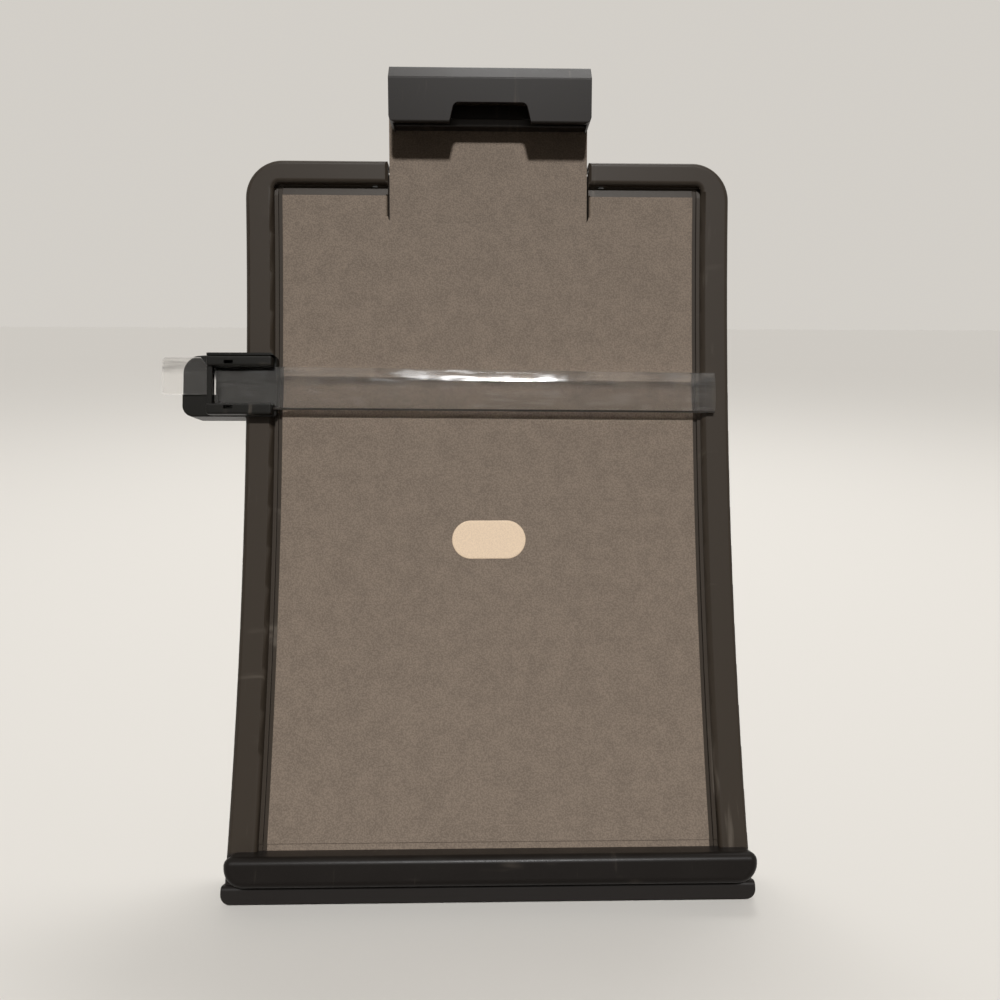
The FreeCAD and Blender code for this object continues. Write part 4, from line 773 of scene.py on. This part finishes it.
def strip_rings(x):
    """Sections at every x, as across and proud. The tab is a flat bar, and the band has
    facets that rise from the edge to the flat, so a point d up a facet of width w has
    risen by rise d / w. The columns go round the section from the lower edge."""
    is_band, middle, low, high = strip_ends(x)
    rise = np.where(is_band, STRIP_TOP - STRIP_EDGE, 0.0)
    flat_low = np.where(is_band, middle - FLAT_HALF, (2 * low + high) / 3)
    flat_high = np.where(is_band, middle + FLAT_HALF, (low + 2 * high) / 3)
    ridge_low = rise * RIDGE_HALF / (flat_low - low)
    ridge_high = rise * RIDGE_HALF / (high - flat_high)
    edge_shaded = rise * EDGE_SHADE_WIDTH / (flat_low - low)
    top = STRIP_EDGE + rise
    across = [low + CHAMFER, low, low, low + CHAMFER, low + EDGE_SHADE_WIDTH,
              flat_low - RIDGE_HALF, flat_low + RIDGE_HALF,
              flat_high - RIDGE_HALF, flat_high + RIDGE_HALF,
              high - CHAMFER, high, high, high - CHAMFER, low + EDGE_SHADE_WIDTH]
    proud = [STRIP_BED, STRIP_BED + CHAMFER, STRIP_EDGE - CHAMFER, STRIP_EDGE,
             STRIP_EDGE + edge_shaded, top - ridge_low, top, top, top - ridge_high,
             STRIP_EDGE, STRIP_EDGE - CHAMFER, STRIP_BED + CHAMFER, STRIP_BED, STRIP_BED]
    return np.stack(across, axis=1), np.stack(np.broadcast_arrays(x, *proud)[1:], axis=1)


quarter = np.linspace(0, math.pi / 2, CORNER_RINGS)
along_strip = np.concatenate([
    TAB_END + TAB_CORNER * (1 - np.cos(quarter)),
    [TAB_SHOULDER, FRAME_LEFT, BAND_START - BAND_STEP],
    np.linspace(BAND_START, STRIP_END, BAND_RINGS)])
across_strip, proud_strip = strip_rings(along_strip)
strip = closed_loft("clear_strip", on_guide(along_strip[:, None], across_strip, proud_strip))
mesh = strip.data
mesh.materials.append(strip_finish)
mesh.materials.append(edge_shade_finish)

columns = across_strip.shape[1]
loop_points = np.empty(len(mesh.loops), int)
mesh.loops.foreach_get("vertex_index", loop_points)
ring, column = np.divmod(loop_points, columns)
centre = (across_strip[:, LOWER_CORNER] + across_strip[:, UPPER_CORNER])[:, None] / 2
centred = across_strip - centre
uv = mesh.uv_layers.new(name="strip")
uv.data.foreach_set("uv", np.column_stack([along_strip[ring], centred[ring, column]]).ravel())

# Faces in the listed columns on the band take the painted edge shade.
face_ring, face_column = np.divmod(np.arange((len(along_strip) - 1) * columns), columns)
is_edge_shaded = np.isin(face_column, EDGE_SHADE_COLUMNS) & (along_strip[face_ring] >= BAND_START)
kinds = np.zeros(len(mesh.polygons), int)
kinds[:len(is_edge_shaded)] = is_edge_shaded
mesh.polygons.foreach_set("material_index", kinds)
smooth_by_angle(mesh, STRIP_SHARP)
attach(strip, "guide")
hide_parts("line_strip")
print("strip:", len(mesh.polygons), "faces,", int(kinds.sum()), "edge_shaded")

# %% [markdown]
# The sticker is an oval with straight sides: every point of its outline lies one radius
# from a short straight spine. Shrinking that radius gives the inner rings. The last few
# rings roll over the rim, which is a quarter of a circle in section, and it all follows
# the board's curve, because each point is placed by on_board.

# %% Piece: sticker
LABEL_AT = 0.1434
LABEL_LENGTH, LABEL_WIDTH, LABEL_THICKNESS = 0.0362, 0.0189, 0.0002
LABEL_LIFT = 0.00002
LABEL_AROUND, LABEL_RINGS, RIM_RINGS = 96, 12, 5
INNERMOST_SHARE = 0.02
LABEL_SHARP = 40

end_radius = LABEL_WIDTH / 2
spine = LABEL_LENGTH / 2 - end_radius
turn = np.linspace(0, 2 * math.pi, LABEL_AROUND, endpoint=False)
shift = np.where(np.cos(turn) >= 0, spine, -spine)
rolled = np.linspace(0, math.pi / 2, RIM_RINGS)[1:]
innermost = end_radius * INNERMOST_SHARE
sizes = np.concatenate([
    np.linspace(innermost, end_radius - LABEL_THICKNESS, LABEL_RINGS),
    end_radius - LABEL_THICKNESS * (1 - np.sin(rolled)),
    [innermost]])
tops = np.concatenate([
    np.full(LABEL_RINGS, LABEL_THICKNESS), LABEL_THICKNESS * np.cos(rolled), [0.0]])
tops = np.clip(tops, LABEL_LIFT, None)
x = shift[None, :] + sizes[:, None] * np.cos(turn)[None, :]
along = LABEL_AT + sizes[:, None] * np.sin(turn)[None, :]
sticker = closed_loft("label_sheet", on_board(x, along, tops[:, None]))
sticker.data.materials.append(paper_finish)
smooth_by_angle(sticker.data, LABEL_SHARP)
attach(sticker, "board")
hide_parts("label")
print("sticker:", len(sticker.data.polygons), "faces")

# %% [markdown]
# Each measured part now takes its finish. Parts that were moulded from one plastic share
# it, so the list goes by finish rather than by part. The two parts that are replaced get
# a finish too, although they aren't shown, so that no part is left without one.

# %% Dress the measured parts
DRESSED = [
    (board_finish, ["board_shell"]),
    (plate_finish, ["extension_plate"]),
    (cover_finish, ["guide_cover"]),
    (ledge_finish, ["ledge"]),
    (clip_finish, ["clip_flap"]),
    (guide_finish, ["slider_body", "slider_frame", "slider_jaw"]),
    (leg_finish, ["leg_bracket", "easel_leg"]),
    (rubber_finish, ["clip_pad", "foot_strip", "rear_feet"]),
    (screw_finish, ["ledge_screws", "guide_cover_screws", "detent_screw", "slider_screws",
                    "leg_bracket_screws"]),
    (spring_finish, ["clip_hinge_pin", "leg_hinge_pin", "clip_spring", "plate_detent_spring",
                     "slider_spring", "leg_latch_spring"]),
    (edge_shade_finish, ["line_strip"]),
    (paper_finish, ["label"]),
]
for finish, nodes in DRESSED:
    for node in nodes:
        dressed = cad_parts[node].data.materials
        dressed.clear()
        dressed.append(finish)
print("dressed:", sum(len(nodes) for _, nodes in DRESSED), "of", len(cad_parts))
